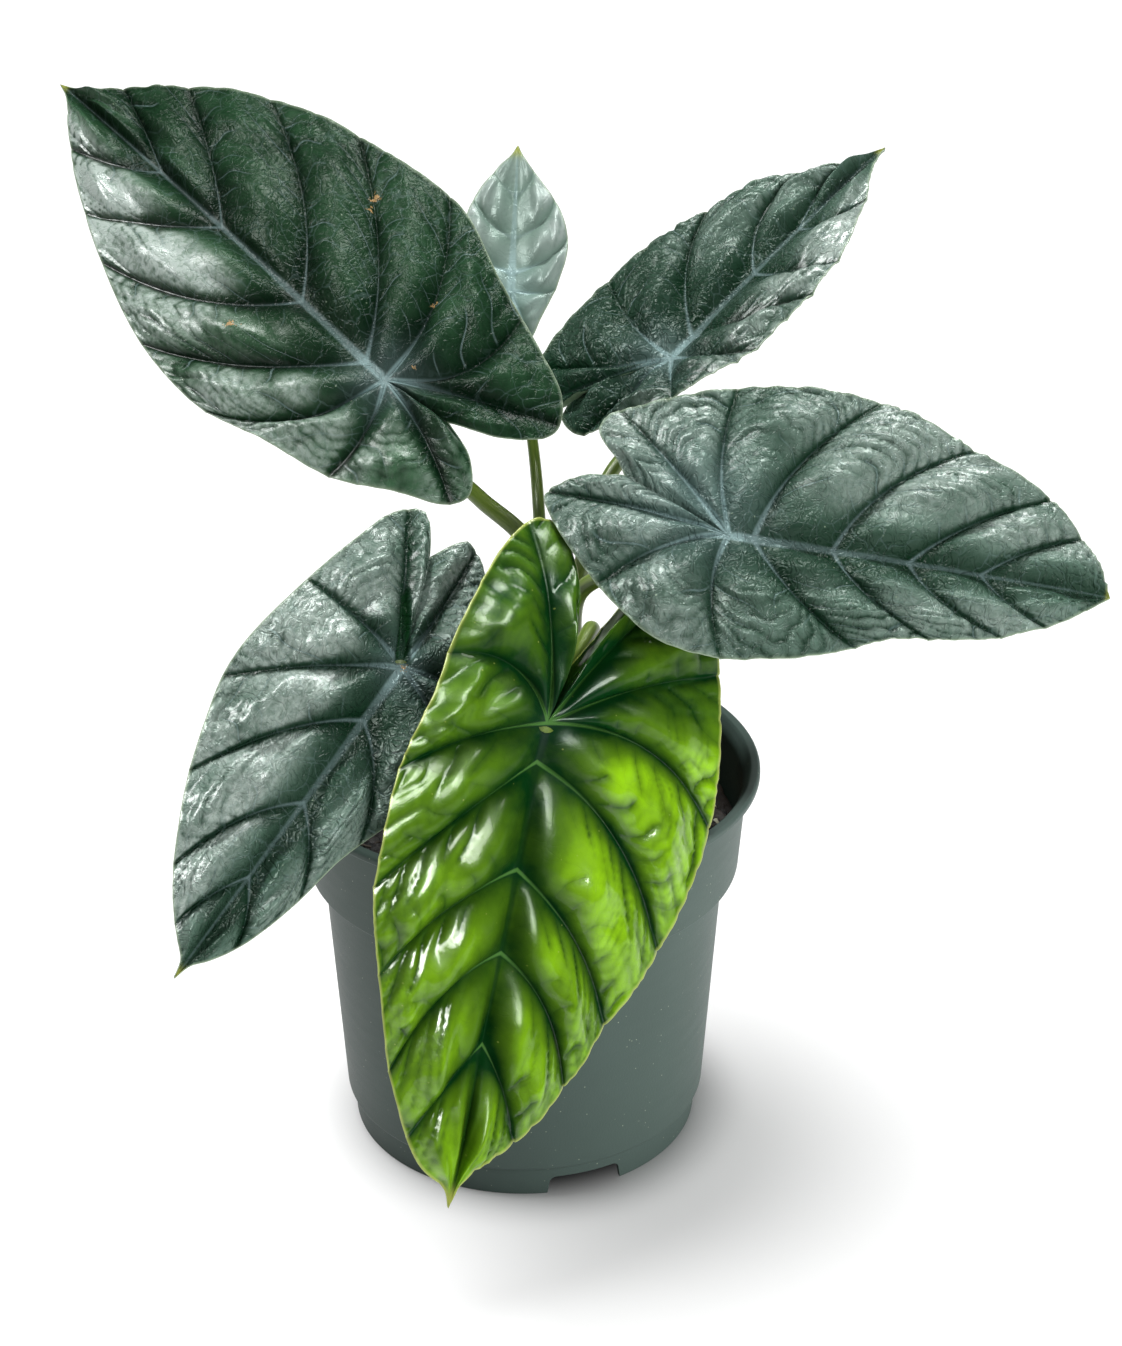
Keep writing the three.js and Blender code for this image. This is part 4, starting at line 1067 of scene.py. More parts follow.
class Finish:
    """A material under construction"""

    def __init__(self, name):
        self.material = bpy.data.materials.new(name)
        self.material.use_nodes = True
        self.tree = self.material.node_tree
        self.shader = self.tree.nodes["Principled BSDF"]

    def node(self, kind, settings, sockets):
        """Adds a node: first its settings, then the values or links of its sockets, by name or in order"""
        made = self.tree.nodes.new(kind)
        for title, setting in settings.items():
            if title == "stops":
                self.set_stops(made.color_ramp, setting)
            else:
                setattr(made, title, setting)
        pairs = sockets.items() if isinstance(sockets, dict) else enumerate(sockets)
        for title, given in pairs:
            self.feed(made.inputs[title], given)
        return made

    def set_stops(self, ramp, stops):
        while len(ramp.elements) < len(stops):
            ramp.elements.new(1.0)
        for element, (place, colour) in zip(ramp.elements, stops):
            element.position = place
            element.color = (*colour, 1)

    def feed(self, socket, given):
        if isinstance(given, Value):
            self.tree.links.new(given.socket, socket)
        elif isinstance(given, bpy.types.NodeSocket):
            self.tree.links.new(given, socket)
        elif isinstance(given, (tuple, list)) and len(given) == 3 and socket.type == "RGBA":
            socket.default_value = (*given, 1)
        else:
            socket.default_value = given

    def number(self, kind, settings, sockets, output=0):
        return Value(self, self.node(kind, settings, sockets).outputs[output])

    def attribute(self, title):
        return self.node("ShaderNodeAttribute", {"attribute_name": title}, {})

    def value_of(self, title):
        return Value(self, self.attribute(title).outputs["Fac"])

    def vector_of(self, title):
        return self.attribute(title).outputs["Vector"]

    def places(self):
        return self.node("ShaderNodeTexCoord", {}, {}).outputs["Object"]

    def stretched(self, vector, x, y, z):
        return self.node("ShaderNodeVectorMath", {"operation": "MULTIPLY"}, [vector, (x, y, z)]).outputs[0]

    def shifted(self, vector, amount):
        return self.node("ShaderNodeVectorMath", {"operation": "ADD"}, [vector, amount]).outputs[0]

    def distance(self, vector, point):
        sockets = [vector, tuple(point)]
        return self.number("ShaderNodeVectorMath", {"operation": "DISTANCE"}, sockets, "Value")

    def warped(self, vector, scale, amount):
        """The vector, pushed about by a soft noise"""
        noise = self.node("ShaderNodeTexNoise", {}, {"Vector": vector, "Scale": scale, "Detail": 2.0})
        push = self.shifted(noise.outputs["Color"], (-0.5, -0.5, -0.5))
        return self.shifted(vector, self.stretched(push, amount, amount, amount))

    def noise(self, vector, scale, detail=3.0, roughness=0.5, distortion=0.0):
        sockets = {"Vector": vector, "Scale": scale, "Detail": detail, "Roughness": roughness,
                   "Distortion": distortion}
        return self.number("ShaderNodeTexNoise", {}, sockets)

    def cells(self, vector, scale, feature):
        return self.number("ShaderNodeTexVoronoi", {"feature": feature}, {"Vector": vector, "Scale": scale})

    def mix(self, amount, one, other):
        """Colour one where amount is 0 or less, and the other where it is 1 or more"""
        made = self.node("ShaderNodeMix", {"data_type": "RGBA"}, {"Factor": amount})
        self.feed(made.inputs[6], one)
        self.feed(made.inputs[7], other)
        return made.outputs[2]

    def ramp(self, amount, stops):
        return self.node("ShaderNodeValToRGB", {"stops": stops}, [amount]).outputs[0]

    def bumped(self, height, distance):
        return self.node("ShaderNodeBump", {}, {"Height": height, "Distance": distance}).outputs[0]

    def done(self, sockets):
        """Feeds the shader, and gives the material"""
        for title, given in sockets.items():
            self.feed(self.shader.inputs[title], given)
        return self.material


TIP_COLOUR = linear(150, 158, 70)
# Painted shade in the pocket between two lobes that have grown together
POCKET_SHADE_COLOUR = linear(16, 62, 26)
SCAR_COLOUR = linear(170, 138, 92)
# Colour of the painted silver sheen, a highlight laid into the colour of the pillows
PAINTED_SHEEN_COLOUR = linear(174, 188, 180)


def blade_finish(name, look, crown, middle, valley, vein_colour, far_colour, core_colour, rim_colour):
    """The upper face of a blade: light pillows, dark furrows with painted shade, veins, a painted silver
    sheen, and a wrinkled skin
    """
    finish = Finish(name)
    flat = finish.vector_of("flat")
    wrinkles = finish.noise(flat, 460, 3, 0.6, 0.5)
    mottle = finish.noise(flat, 90, 4, 0.6)
    patches = finish.noise(flat, 28, 3, 0.5)

    # Pillows and furrows, and a painted silver sheen: a highlight mixed into the colour of the pillows,
    # strongest on one half of each leaf
    light = finish.value_of("crest") * 0.95 + (patches - 0.5) * look["patches"] + (mottle - 0.5) * 0.4
    light = light.limited()
    colour = finish.ramp(light, [(0, valley), (0.5, middle), (1, crown)])
    sheen = finish.value_of("sheen") * light.step(0.3, 0.9) * patches.step(0.25, 0.6)
    sheen = sheen * (wrinkles.step(0.3, 0.65) * 0.6 + 0.4)
    colour = finish.mix(sheen * look["painted_sheen_mix"], colour, PAINTED_SHEEN_COLOUR)
    # Painted shade along the furrows of the side veins
    colour = finish.mix(finish.value_of("side_vein") * look["side_veins"], colour, valley)

    # Fine branches of the veins, the net between them, and dust
    pulse = (finish.value_of("beat") * math.pi).math("SINE").math("ABSOLUTE")
    branch = (1 - pulse.step(0.02, 0.16)) * finish.value_of("branch")
    branch_colour = valley if look["dark_branches"] else vein_colour
    colour = finish.mix(branch * look["branches"], colour, branch_colour)
    thin = 1 - finish.cells(finish.warped(flat, 120, 0.008), 150, "DISTANCE_TO_EDGE").step(0.0, 0.05)
    colour = finish.mix(thin * patches.step(0.35, 0.6) * look["network"], colour, branch_colour)
    dusty = finish.noise(flat, 120, 2, 0.5).step(0.5, 0.6)
    dust = (1 - finish.cells(flat, 260, "F1").step(0.04, 0.1)) * dusty
    colour = finish.mix(dust * 0.5, colour, rim_colour)

    # Veins and midrib, pale by the petiole, with a core of their own
    hub = finish.value_of("hub")
    vein = finish.value_of("vein")
    colour = finish.mix(hub * look["hub"], colour, vein_colour)
    line = finish.mix(hub * 1.5 + look["far_veins"], far_colour, vein_colour)
    colour = finish.mix(vein.step(0.2, 0.8) * look["veins"], colour, line)
    line = finish.mix(hub * 1.5 + look["far_midrib"], far_colour, vein_colour)
    colour = finish.mix(finish.value_of("midrib").step(0.2, 0.7) * look["veins"], colour, line)
    colour = finish.mix(vein.step(0.55, 0.95) * look["cores"], colour, core_colour)

    # Rim, tip, the painted shade of the pocket, and scars
    colour = finish.mix(finish.value_of("rim") * look["rim"], colour, rim_colour)
    colour = finish.mix(finish.value_of("tip"), colour, TIP_COLOUR)
    colour = finish.mix(finish.value_of("pocket") * 0.85, colour, POCKET_SHADE_COLOUR)
    mark = finish.value_of("scar")
    breaks = (finish.noise(flat, 520, 3, 0.7) - 0.5) * 2.4
    scar = (mark * 0.8 + breaks).step(0.62, 0.72) * mark.step(0.1, 0.4)
    colour = finish.mix(scar, colour, SCAR_COLOUR)

    # The skin: fine wrinkles, folds and pores, and a gloss that is broken by them
    pores = finish.noise(flat, 1700, 2, 0.6)
    folds = (finish.noise(flat, 220, 2, 0.5, 1.4) - 0.5).math("ABSOLUTE").step(0.0, 0.12)
    relief = wrinkles * 0.6 + pores * 0.15 + folds * look["creases"] - branch * 0.5 - thin * 0.25
    rough = (mottle - 0.5) * 0.2 + (wrinkles - 0.5) * 0.2 + look["gloss"]
    coat = finish.value_of("sheen") * (wrinkles.step(0.3, 0.7) * 0.7 + 0.3) * look["sheen_coat"]
    coat = coat + look["coat"]
    return finish.done({
        "Base Color": colour, "Roughness": rough.limited(), "Metallic": look["metallic"],
        "Normal": finish.bumped(relief, look["bump"]), "Coat Weight": coat.limited(),
        "Coat Roughness": look["coat_roughness"], "Specular IOR Level": look["specular"],
    })


def under_finish(name, colour, vein_colour):
    """The lower face of a blade: dull and paler, with its raised veins"""
    finish = Finish(name)
    flat = finish.vector_of("flat")
    mottle = finish.noise(flat, 140, 4, 0.6)
    base = finish.mix(mottle * 1.3 - 0.15, scaled(colour, 0.72), colour)
    base = finish.mix(finish.value_of("vein").step(0.15, 0.8), base, vein_colour)
    relief = finish.noise(flat, 900, 3, 0.6)
    return finish.done({
        "Base Color": base, "Roughness": mottle * 0.2 + 0.45, "Normal": finish.bumped(relief, 0.0001),
    })


def rim_finish(name, colour):
    """The thin edge of a blade"""
    finish = Finish(name)
    streak = finish.noise(finish.vector_of("flat"), 300, 3, 0.6)
    base = finish.mix(streak, scaled(colour, 0.7), colour)
    return finish.done({"Base Color": base, "Roughness": streak * 0.2 + 0.35})


def petiole_finish(name, colour, pale, flush):
    """Green skin with fine stripes along it, paler at the sheath and flushed at the foot"""
    finish = Finish(name)
    place = finish.vector_of("place")
    share = finish.value_of("share")
    stripes = finish.noise(finish.stretched(place, 1.0, 1.0, 0.06), 1300, 3, 0.6)
    clouds = finish.noise(finish.stretched(place, 1.0, 1.0, 0.4), 160, 3, 0.5)
    base = finish.mix(stripes * 1.6 - 0.3, colour, pale)
    base = finish.mix(clouds - 0.35, base, scaled(colour, 0.55))
    foot = 1 - share.step(0.05, 0.34)
    base = finish.mix(foot * 0.55, base, flush)
    relief = stripes * 0.7 + finish.noise(place, 1500, 2, 0.6) * 0.3
    return finish.done({
        "Base Color": base, "Roughness": stripes * 0.18 + 0.32, "Normal": finish.bumped(relief, 0.00014),
        "Coat Weight": 0.2, "Coat Roughness": 0.3,
    })


def pot_finish(name, colour, speck, painted_inside_shade):
    """Moulded dark green plastic: satin, faintly speckled, and with painted shade on the inner wall under its
    lip
    """
    finish = Finish(name)
    place = finish.places()
    radius = finish.distance(finish.stretched(place, 1.0, 1.0, 0.0), POT_AXIS)
    height = finish.number("ShaderNodeSeparateXYZ", {}, [place], "Z")
    # Painted shade on the inner wall, from the collar's step up to under the lip
    within = (height * WALL_SLOPE + WALL_FOOT - radius).step(-0.0003, 0.0003)
    inside = within * height.step(0.104, 0.106) * (1 - height.step(0.134, 0.139))
    few = finish.noise(place, 190, 2, 0.5)
    specks = (1 - finish.cells(place, 420, "F1").step(0.05, 0.13)) * few.step(0.52, 0.6)
    clouds = finish.noise(place, 22, 4, 0.6)
    base = finish.mix(clouds, scaled(colour, 0.86), scaled(colour, 1.12))
    base = finish.mix(specks * 0.75, base, speck)
    base = finish.mix(inside, base, painted_inside_shade)
    grain = finish.noise(place, 1400, 3, 0.6)
    scuffs = finish.noise(finish.stretched(place, 1.0, 1.0, 6.0), 60, 4, 0.65)
    rough = grain * 0.1 + scuffs * 0.14 + 0.4
    return finish.done({
        "Base Color": base, "Roughness": rough, "Normal": finish.bumped(grain, 0.00006),
        "Specular IOR Level": 0.2, "Coat Weight": 0.03, "Coat Roughness": 0.35,
    })


def soil_finish(name, colour, other):
    """Damp peat, with lighter bits"""
    finish = Finish(name)
    place = finish.places()
    clouds = finish.noise(place, 160, 5, 0.7)
    fine = finish.noise(place, 900, 4, 0.7)
    base = finish.mix(clouds * 1.8 - 0.5, colour, other)
    base = finish.mix(fine - 0.55, base, scaled(other, 2.2))
    relief = clouds * 0.6 + fine * 0.4
    return finish.done({
        "Base Color": base, "Roughness": fine * 0.15 + 0.8, "Normal": finish.bumped(relief, 0.0012),
    })


def scatter_finish(name, stops, rough, scale, bump):
    """Loose pieces: each has its own tint, and a grain that runs over it"""
    finish = Finish(name)
    place = finish.places()
    grain = finish.noise(place, scale, 4, 0.65)
    tint = finish.value_of("tint")
    base = finish.ramp((tint * 0.8 + (grain - 0.5) * 0.7 + 0.1).limited(), stops)
    return finish.done({
        "Base Color": base, "Roughness": (grain * 0.2 + rough).limited(),
        "Normal": finish.bumped(grain, bump),
    })


def sheath_finish(name, colour, tip_colour):
    """Dry brown skin, streaked along and darker at the tip"""
    finish = Finish(name)
    place = finish.places()
    share = finish.value_of("share")
    streaks = finish.noise(finish.stretched(place, 1.0, 1.0, 0.12), 900, 4, 0.65)
    base = finish.mix(streaks * 1.6 - 0.3, colour, tip_colour)
    base = finish.mix(share.step(0.4, 1.0) * 0.7, base, tip_colour)
    return finish.done({
        "Base Color": base, "Roughness": streaks * 0.2 + 0.55, "Normal": finish.bumped(streaks, 0.0004),
    })


def floor_finish(name, colour):
    """Pale and dull, with a glow of its own that makes it nearly white; the glow fades out under the pot and
    just round its foot, which paints a soft contact shadow there
    """
    finish = Finish(name)
    place = finish.places()
    cloud = finish.noise(place, 3, 3, 0.5)
    from_axis = finish.distance(place, POT_AXIS)
    # Painted contact shadow: no glow within 50 mm of the pot's axis, full glow from 85 mm
    glow = finish.mix(from_axis.step(0.05, 0.085), (0, 0, 0), (1, 1, 1))
    base = finish.mix(cloud, scaled(colour, 0.985), colour)
    return finish.done({
        "Base Color": base, "Roughness": cloud * 0.1 + 0.75,
        "Emission Color": glow, "Emission Strength": 0.45,
    })


# ---- settings


def colour_setting(name, description, red, green, blue):
    return bpy.props.FloatVectorProperty(
        name=name, description=description, subtype="COLOR", size=3, min=0, max=1,
        default=linear(red, green, blue))


def count_setting(name, description, default, least=0):
    return bpy.props.IntProperty(name=name, description=description, default=default, min=least)


def power_setting(name, description, default):
    return bpy.props.FloatProperty(name=name, description=description, default=default, min=0, unit="POWER")


def strength_setting(name, description, default):
    return bpy.props.FloatProperty(name=name, description=description, default=default, min=0)


class AlocasiaLeafSettings(bpy.types.PropertyGroup):
    relief: bpy.props.FloatProperty(
        name="Quilting", description="Height of the pillows between the veins", default=0.0052, min=0,
        unit="LENGTH", precision=4)
    dark_crown: colour_setting("Dark leaf", "Pillows of the dark leaf", 58, 98, 66)
    dark_valley: colour_setting("Dark leaf, furrows", "Furrows of the dark leaf", 4, 28, 12)
    silver_crown: colour_setting("Silver leaves", "Pillows of the silver leaves", 82, 108, 94)
    silver_valley: colour_setting("Silver leaves, furrows", "Furrows of the silver leaves", 16, 46, 28)
    pale_crown: colour_setting("Small leaf", "Pillows of the small leaf at the back", 182, 193, 189)
    pale_valley: colour_setting("Small leaf, furrows", "Furrows of the small leaf", 112, 136, 124)
    bright_crown: colour_setting("Young leaf", "Pillows of the bright young leaf", 160, 220, 22)
    bright_valley: colour_setting("Young leaf, furrows", "Furrows of the bright young leaf", 8, 54, 18)
    pale_vein: colour_setting("Pale veins", "Veins and middle of the silver leaves", 150, 178, 178)
    dark_vein: colour_setting("Dark veins", "Veins of the young leaf", 24, 46, 36)
    under: colour_setting("Undersides", "Lower faces of the leaves", 96, 118, 92)


class AlocasiaPetioleSettings(bpy.types.PropertyGroup):
    colour: colour_setting("Petioles", "Skin of the petioles", 80, 108, 34)
    pale: colour_setting("Stripes", "Fine stripes along the petioles", 136, 158, 66)
    flush: colour_setting("Foot", "Flush at the foot of the petioles", 128, 112, 74)
    sheath: colour_setting("Sheaths", "Dried sheaths round the crown", 150, 98, 76)


class AlocasiaPotSettings(bpy.types.PropertyGroup):
    colour: colour_setting("Pot", "Moulded plastic", 64, 78, 73)
    speck: colour_setting("Specks", "Fine specks in the plastic", 150, 160, 140)
    # Colour of the painted shade on the pot's inner wall over the mix
    painted_inside_shade: colour_setting("Inside", "Damp and dusty plastic over the mix", 24, 34, 29)
    sides: count_setting("Sides", "Faces round the pot", 224, 24)


class AlocasiaMixSettings(bpy.types.PropertyGroup):
    soil: colour_setting("Soil", "The dark potting mix", 13, 9, 7)
    bark: colour_setting("Bark", "The lighter bits of the mix", 32, 23, 16)
    perlite_count: count_setting("Perlite", "Number of perlite grains", 190, 1)
    bark_count: count_setting("Chips", "Number of bark chips", 190, 1)
    crumb_count: count_setting("Crumbs", "Number of small crumbs", 1500, 1)
    fibre_count: count_setting("Fibres", "Number of fine roots", 110, 1)


class AlocasiaStageSettings(bpy.types.PropertyGroup):
    floor: colour_setting("Floor", "The plain floor", 214, 214, 214)
    key_strength: strength_setting("Key light", "Strength of the far light on the plant", 3.2)
    floor_strength: strength_setting("Floor light", "Strength of the broad far light on the floor", 3.0)
    top_power: power_setting("Top light", "Power of the soft light over the plant", 6)
    front_power: power_setting("Front light", "Power of the soft light beside the camera", 12)
    window_power: power_setting("Window", "Power of the narrow lights that the leaves mirror", 42)
    sky: strength_setting("Sky", "Strength of the even light from all round", 0.14)
    focal_length: bpy.props.FloatProperty(
        name="Lens", description="Focal length of the camera", default=87.85, min=1, unit="CAMERA")


# ---- operators

# What sets the looks of the leaves apart: strengths of their markings, painted shade in the furrows, painted
# silver sheen, wrinkles and gloss, from 0 to 1, with the depth of the wrinkles in metres as bump. middle says
# how light the colour is halfway up a pillow.
LOOKS = {
    "dark": {
        "slot": "leaf_dark", "middle": 0.4, "patches": 0.9, "painted_sheen_mix": 0.62, "side_veins": 0.5,
        "network": 0.1, "branches": 0.26, "dark_branches": False, "hub": 0.16, "veins": 0.52,
        "far_veins": 0.05, "far_midrib": 0.45, "cores": 0.4, "rim": 0.4, "bump": 0.0003, "creases": 0.5,
        "metallic": 0.0, "coat": 0.0, "sheen_coat": 0.38, "coat_roughness": 0.26, "gloss": 0.34,
        "specular": 0.1,
    },
    "silver": {
        "slot": "leaf_silver", "middle": 0.4, "patches": 0.7, "painted_sheen_mix": 0.62, "side_veins": 0.4,
        "network": 0.12, "branches": 0.32, "dark_branches": False, "hub": 0.25, "veins": 0.7,
        "far_veins": 0.16, "far_midrib": 0.35, "cores": 0.5, "rim": 0.4, "bump": 0.00045, "creases": 0.8,
        "metallic": 0.05, "coat": 0.0, "sheen_coat": 0.45, "coat_roughness": 0.22, "gloss": 0.26,
        "specular": 0.14,
    },
    "pale": {
        "slot": "leaf_silver", "middle": 0.4, "patches": 0.5, "painted_sheen_mix": 0.0, "side_veins": 0.3,
        "network": 0.1, "branches": 0.3, "dark_branches": True, "hub": 0.35, "veins": 0.7, "far_veins": 0.1,
        "far_midrib": 0.6, "cores": 0.2, "rim": 0.4, "bump": 0.00014, "creases": 0.2, "metallic": 0.05,
        "coat": 0.0, "sheen_coat": 0.0, "coat_roughness": 0.25, "gloss": 0.36, "specular": 0.2,
    },
    "bright": {
        "slot": "leaf_bright", "middle": 0.3, "patches": 0.6, "painted_sheen_mix": 0.0, "side_veins": 0.75,
        "network": 0.08, "branches": 0.4, "dark_branches": True, "hub": 0.35, "veins": 0.7, "far_veins": 0.0,
        "far_midrib": 0.0, "cores": 0.6, "rim": 0.8, "bump": 0.00008, "creases": 0.15, "metallic": 0.0,
        "coat": 0.06, "sheen_coat": 0.7, "coat_roughness": 0.1, "gloss": 0.36, "specular": 0.1,
    },
}


def look_colours(settings, look):
    """Crown, middle, valley, near veins, far veins, their cores and the rim of one kind of leaf"""
    crown = tuple(getattr(settings, f"{look}_crown"))
    valley = tuple(getattr(settings, f"{look}_valley"))
    share = LOOKS[look]["middle"]
    middle = tuple(low + share * (high - low) for low, high in zip(valley, crown))
    if look == "bright":
        near, core, rim = settings.dark_vein, linear(96, 150, 70), linear(176, 190, 96)
    else:
        near, core, rim = settings.pale_vein, scaled(settings.pale_vein, 0.6), linear(158, 178, 150)
    return crown, middle, valley, tuple(near), scaled(valley, 0.8), core, rim


class ALOCASIA_OT_leaves(bpy.types.Operator):
    """Makes the six quilted blades"""

    bl_idname = "alocasia.leaves"
    bl_label = "Leaves"

    def execute(self, context):
        settings = context.scene.alocasia_leaves
        under = under_finish("blade_under", tuple(settings.under), linear(140, 156, 116))
        for name, leaf in LEAVES.items():
            look = LOOKS[leaf["look"]]
            colours = look_colours(settings, leaf["look"])
            upper = blade_finish(f"blade_{name}", look, *colours)
            edge = rim_finish(f"rim_{name}", colours[-1])
            blade = make_blade(f"blade_{name}", leaf, settings.relief / MM, upper, under, edge)
            attach(blade, look["slot"], f"leaf_{name}")
        return {"FINISHED"}


class ALOCASIA_OT_petioles(bpy.types.Operator):
    """Makes the petioles that carry the blades"""

    bl_idname = "alocasia.petioles"
    bl_label = "Petioles"

    def execute(self, context):
        settings = context.scene.alocasia_petioles
        colours = [tuple(colour) for colour in (settings.colour, settings.pale, settings.flush)]
        for name, leaf in LEAVES.items():
            skin = petiole_finish(f"petiole_skin_{name}", *colours)
            attach(make_petiole(f"stalk_{name}", leaf, skin), "petiole", f"petiole_{name}")
        dry = sheath_finish("dry_sheath", tuple(settings.sheath), linear(96, 62, 44))
        attach(make_sheath("dried_sheaths", dry), "petiole")
        return {"FINISHED"}


class ALOCASIA_OT_pot(bpy.types.Operator):
    """Makes the moulded pot with its drain notches and holes"""

    bl_idname = "alocasia.pot"
    bl_label = "Pot"

    def execute(self, context):
        settings = context.scene.alocasia_pot
        colours = [tuple(colour) for colour in (settings.colour, settings.speck, settings.painted_inside_shade)]
        plastic = pot_finish("pot_plastic", *colours)
        points, faces = turned(rounded(POT_OUTLINE), settings.sides)
        pot = mesh_object("moulded_pot", points, faces, [plastic])
        cutters = [notch_cutter(math.radians(angle)) for angle in NOTCH_ANGLES]
        cutters += [hole_cutter(math.radians(360 / HOLE_COUNT * i)) for i in range(HOLE_COUNT)]
        cut_away(pot, cutters)
        pot.data.polygons.foreach_set("use_smooth", np.ones(len(pot.data.polygons), bool))
        sharpen = pot.modifiers.new("sharp_edges", "EDGE_SPLIT")
        sharpen.split_angle = math.radians(SHARP_EDGE)
        attach(pot, "pot_plastic", "pot")
        return {"FINISHED"}


# The finishes of the loose pieces: stops of their tints, roughness, scale of the grain, its depth in metres
LOOSE_FINISHES = {
    "crumbs": ([(0, linear(15, 11, 9)), (0.55, linear(36, 26, 19)), (0.85, linear(70, 51, 36)),
                (1, linear(116, 100, 80))], 0.75, 700, 0.0004),
    "bark": ([(0, linear(16, 12, 8)), (0.45, linear(34, 25, 17)), (0.8, linear(56, 41, 28)),
              (1, linear(84, 72, 54))], 0.6, 420, 0.0006),
    "perlite": ([(0, linear(196, 192, 176)), (0.5, linear(226, 226, 214)), (0.9, linear(216, 206, 150)),
                 (1, linear(190, 184, 110))], 0.7, 900, 0.0004),
    "fine_roots": ([(0, linear(60, 42, 28)), (1, linear(132, 108, 78))], 0.7, 500, 0.0002),
}


class ALOCASIA_OT_mix(bpy.types.Operator):
    """Makes the potting mix and the loose bits on it"""

    bl_idname = "alocasia.mix"
    bl_label = "Potting mix"

    def execute(self, context):
        settings = context.scene.alocasia_mix
        mix = soil_finish("soil", tuple(settings.soil), tuple(settings.bark))
        attach(make_soil("mix_bed", mix), "potting_mix", "soil")
        draws = np.random.default_rng(LOOSE_SEED)
        # Piece, finish, number, form, radius of the place where they lie, how far they sink in or stand out
        scattered = [
            ("crumbs", "crumbs", settings.crumb_count, crumb, 73, 0.5),
            ("bark_chips", "bark", settings.bark_count, bark_chip, 68, 0.8),
            ("perlite_grains", "perlite", settings.perlite_count, perlite_grain, 71, 0.5),
            ("fine_roots", "fine_roots", settings.fibre_count, fibre, 62, 0.3),
        ]
        for name, look, count, make_one, radius, sunk in scattered:
            material = scatter_finish(look, *LOOSE_FINISHES[look])
            attach(scatter(name, count, draws, make_one, on_mix(radius, sunk), material), "potting_mix")
        return {"FINISHED"}


# The far lights: where they come from, and how broad they are in degrees
KEY_WAY = (-0.3, 0.46, 1.0)
KEY_ANGLE = 6
FLOOR_KEY_WAY = (-0.36, 0.2, 1.0)
FLOOR_KEY_ANGLE = 42

# The soft lights: the setting of their power and their share of it, place and size in metres, what they are
# hidden from, and what they fall on. The first two light the plant, and the rest are what it mirrors.
SOFT_LIGHTS = {
    "top": ("top_power", 1.0, (-0.1, 0.3, 1.5), (1.3, 1.3), "visible_glossy", None),
    "front": ("front_power", 1.0, (0.7, -1.0, 0.8), (0.8, 0.8), "visible_glossy",
              ("EXCLUDE", "floor", "moulded_pot")),
    "window": ("window_power", 1.0, (-1.05, -0.45, 1.3), (0.5, 0.9), "visible_diffuse",
               ("EXCLUDE", "moulded_pot")),
    "strip": ("window_power", 0.7, (0.3, 0.45, 1.6), (0.35, 0.9), "visible_diffuse", None),
    "pot_side": ("window_power", 0.68, (1.3, -0.7, 0.5), (0.5, 0.9), None, ("INCLUDE", "moulded_pot")),
    "near_window": ("window_power", 1.8, (-0.6, -0.45, 1.4), (0.75, 0.9), "visible_diffuse",
                    ("INCLUDE", "blade_front")),
}

# The floor, the height that the soft lights face, and the camera: metres and degrees, with the sensor's width
# in millimetres
FLOOR_HALF_SIZE = 40
LIT_HEIGHT = 0.2
CAMERA_PLACE = (0, -1.0, 0.6942)
CAMERA_YAW = 0.757
CAMERA_PITCH = 27.475
SENSOR_WIDTH = 36
CLIP_START = 0.05
CLIP_END = 20


class ALOCASIA_OT_stage(bpy.types.Operator):
    """Makes the plain floor, the soft lights and the camera"""

    bl_idname = "alocasia.stage"
    bl_label = "Stage"

    def execute(self, context):
        settings = context.scene.alocasia_stage
        make_floor(tuple(settings.floor))
        make_key("key", KEY_WAY, settings.key_strength, KEY_ANGLE, ("EXCLUDE", "floor"))
        broad = make_key("floor_key", FLOOR_KEY_WAY, settings.floor_strength, FLOOR_KEY_ANGLE,
                         ("INCLUDE", "floor"))
        casters = linked("floor_shade", "INCLUDE", "moulded_pot", "mix_bed", "blade_front")
        broad.light_linking.blocker_collection = casters
        for name, (setting, share, place, size, hidden_from, lit) in SOFT_LIGHTS.items():
            make_light(name, place, size, share * getattr(settings, setting), hidden_from, lit)
        make_world(settings.sky)
        make_camera(settings.focal_length)
        context.scene.view_settings.view_transform = "Standard"
        return {"FINISHED"}


def make_floor(colour):
    """The plain floor that the pot stands on, which belongs to the stage"""
    half = FLOOR_HALF_SIZE
    mesh = bpy.data.meshes.new("floor")
    corners = [(-half, -half, 0), (half, -half, 0), (half, half, 0), (-half, half, 0)]
    mesh.from_pydata(corners, [], [(0, 1, 2, 3)])
    mesh.materials.append(floor_finish("floor", colour))
    floor = bpy.data.objects.new("floor", mesh)
    bpy.context.scene.collection.objects.link(floor)


def linked(name, state, *titles):
    """A group of objects that a light is kept for (INCLUDE) or kept off (EXCLUDE)"""
    group = bpy.data.collections.new(name)
    for title in titles:
        group.objects.link(bpy.data.objects[title])
    for member in group.collection_objects:
        member.light_linking.link_state = state
    return group


def make_key(name, way, strength, angle, lit):
    """A far light from the left and behind: a crisp one for the plant, or a broad one for the floor"""
    light = bpy.data.lights.new(name, "SUN")
    light.energy = strength
    light.angle = math.radians(angle)
    lamp = bpy.data.objects.new(name, light)
    lamp.rotation_euler = (-Vector(way)).to_track_quat("-Z", "Y").to_euler()
    lamp.visible_glossy = False
    lamp.light_linking.receiver_collection = linked(f"{name}_lit", *lit)
    bpy.context.scene.collection.objects.link(lamp)
    return lamp


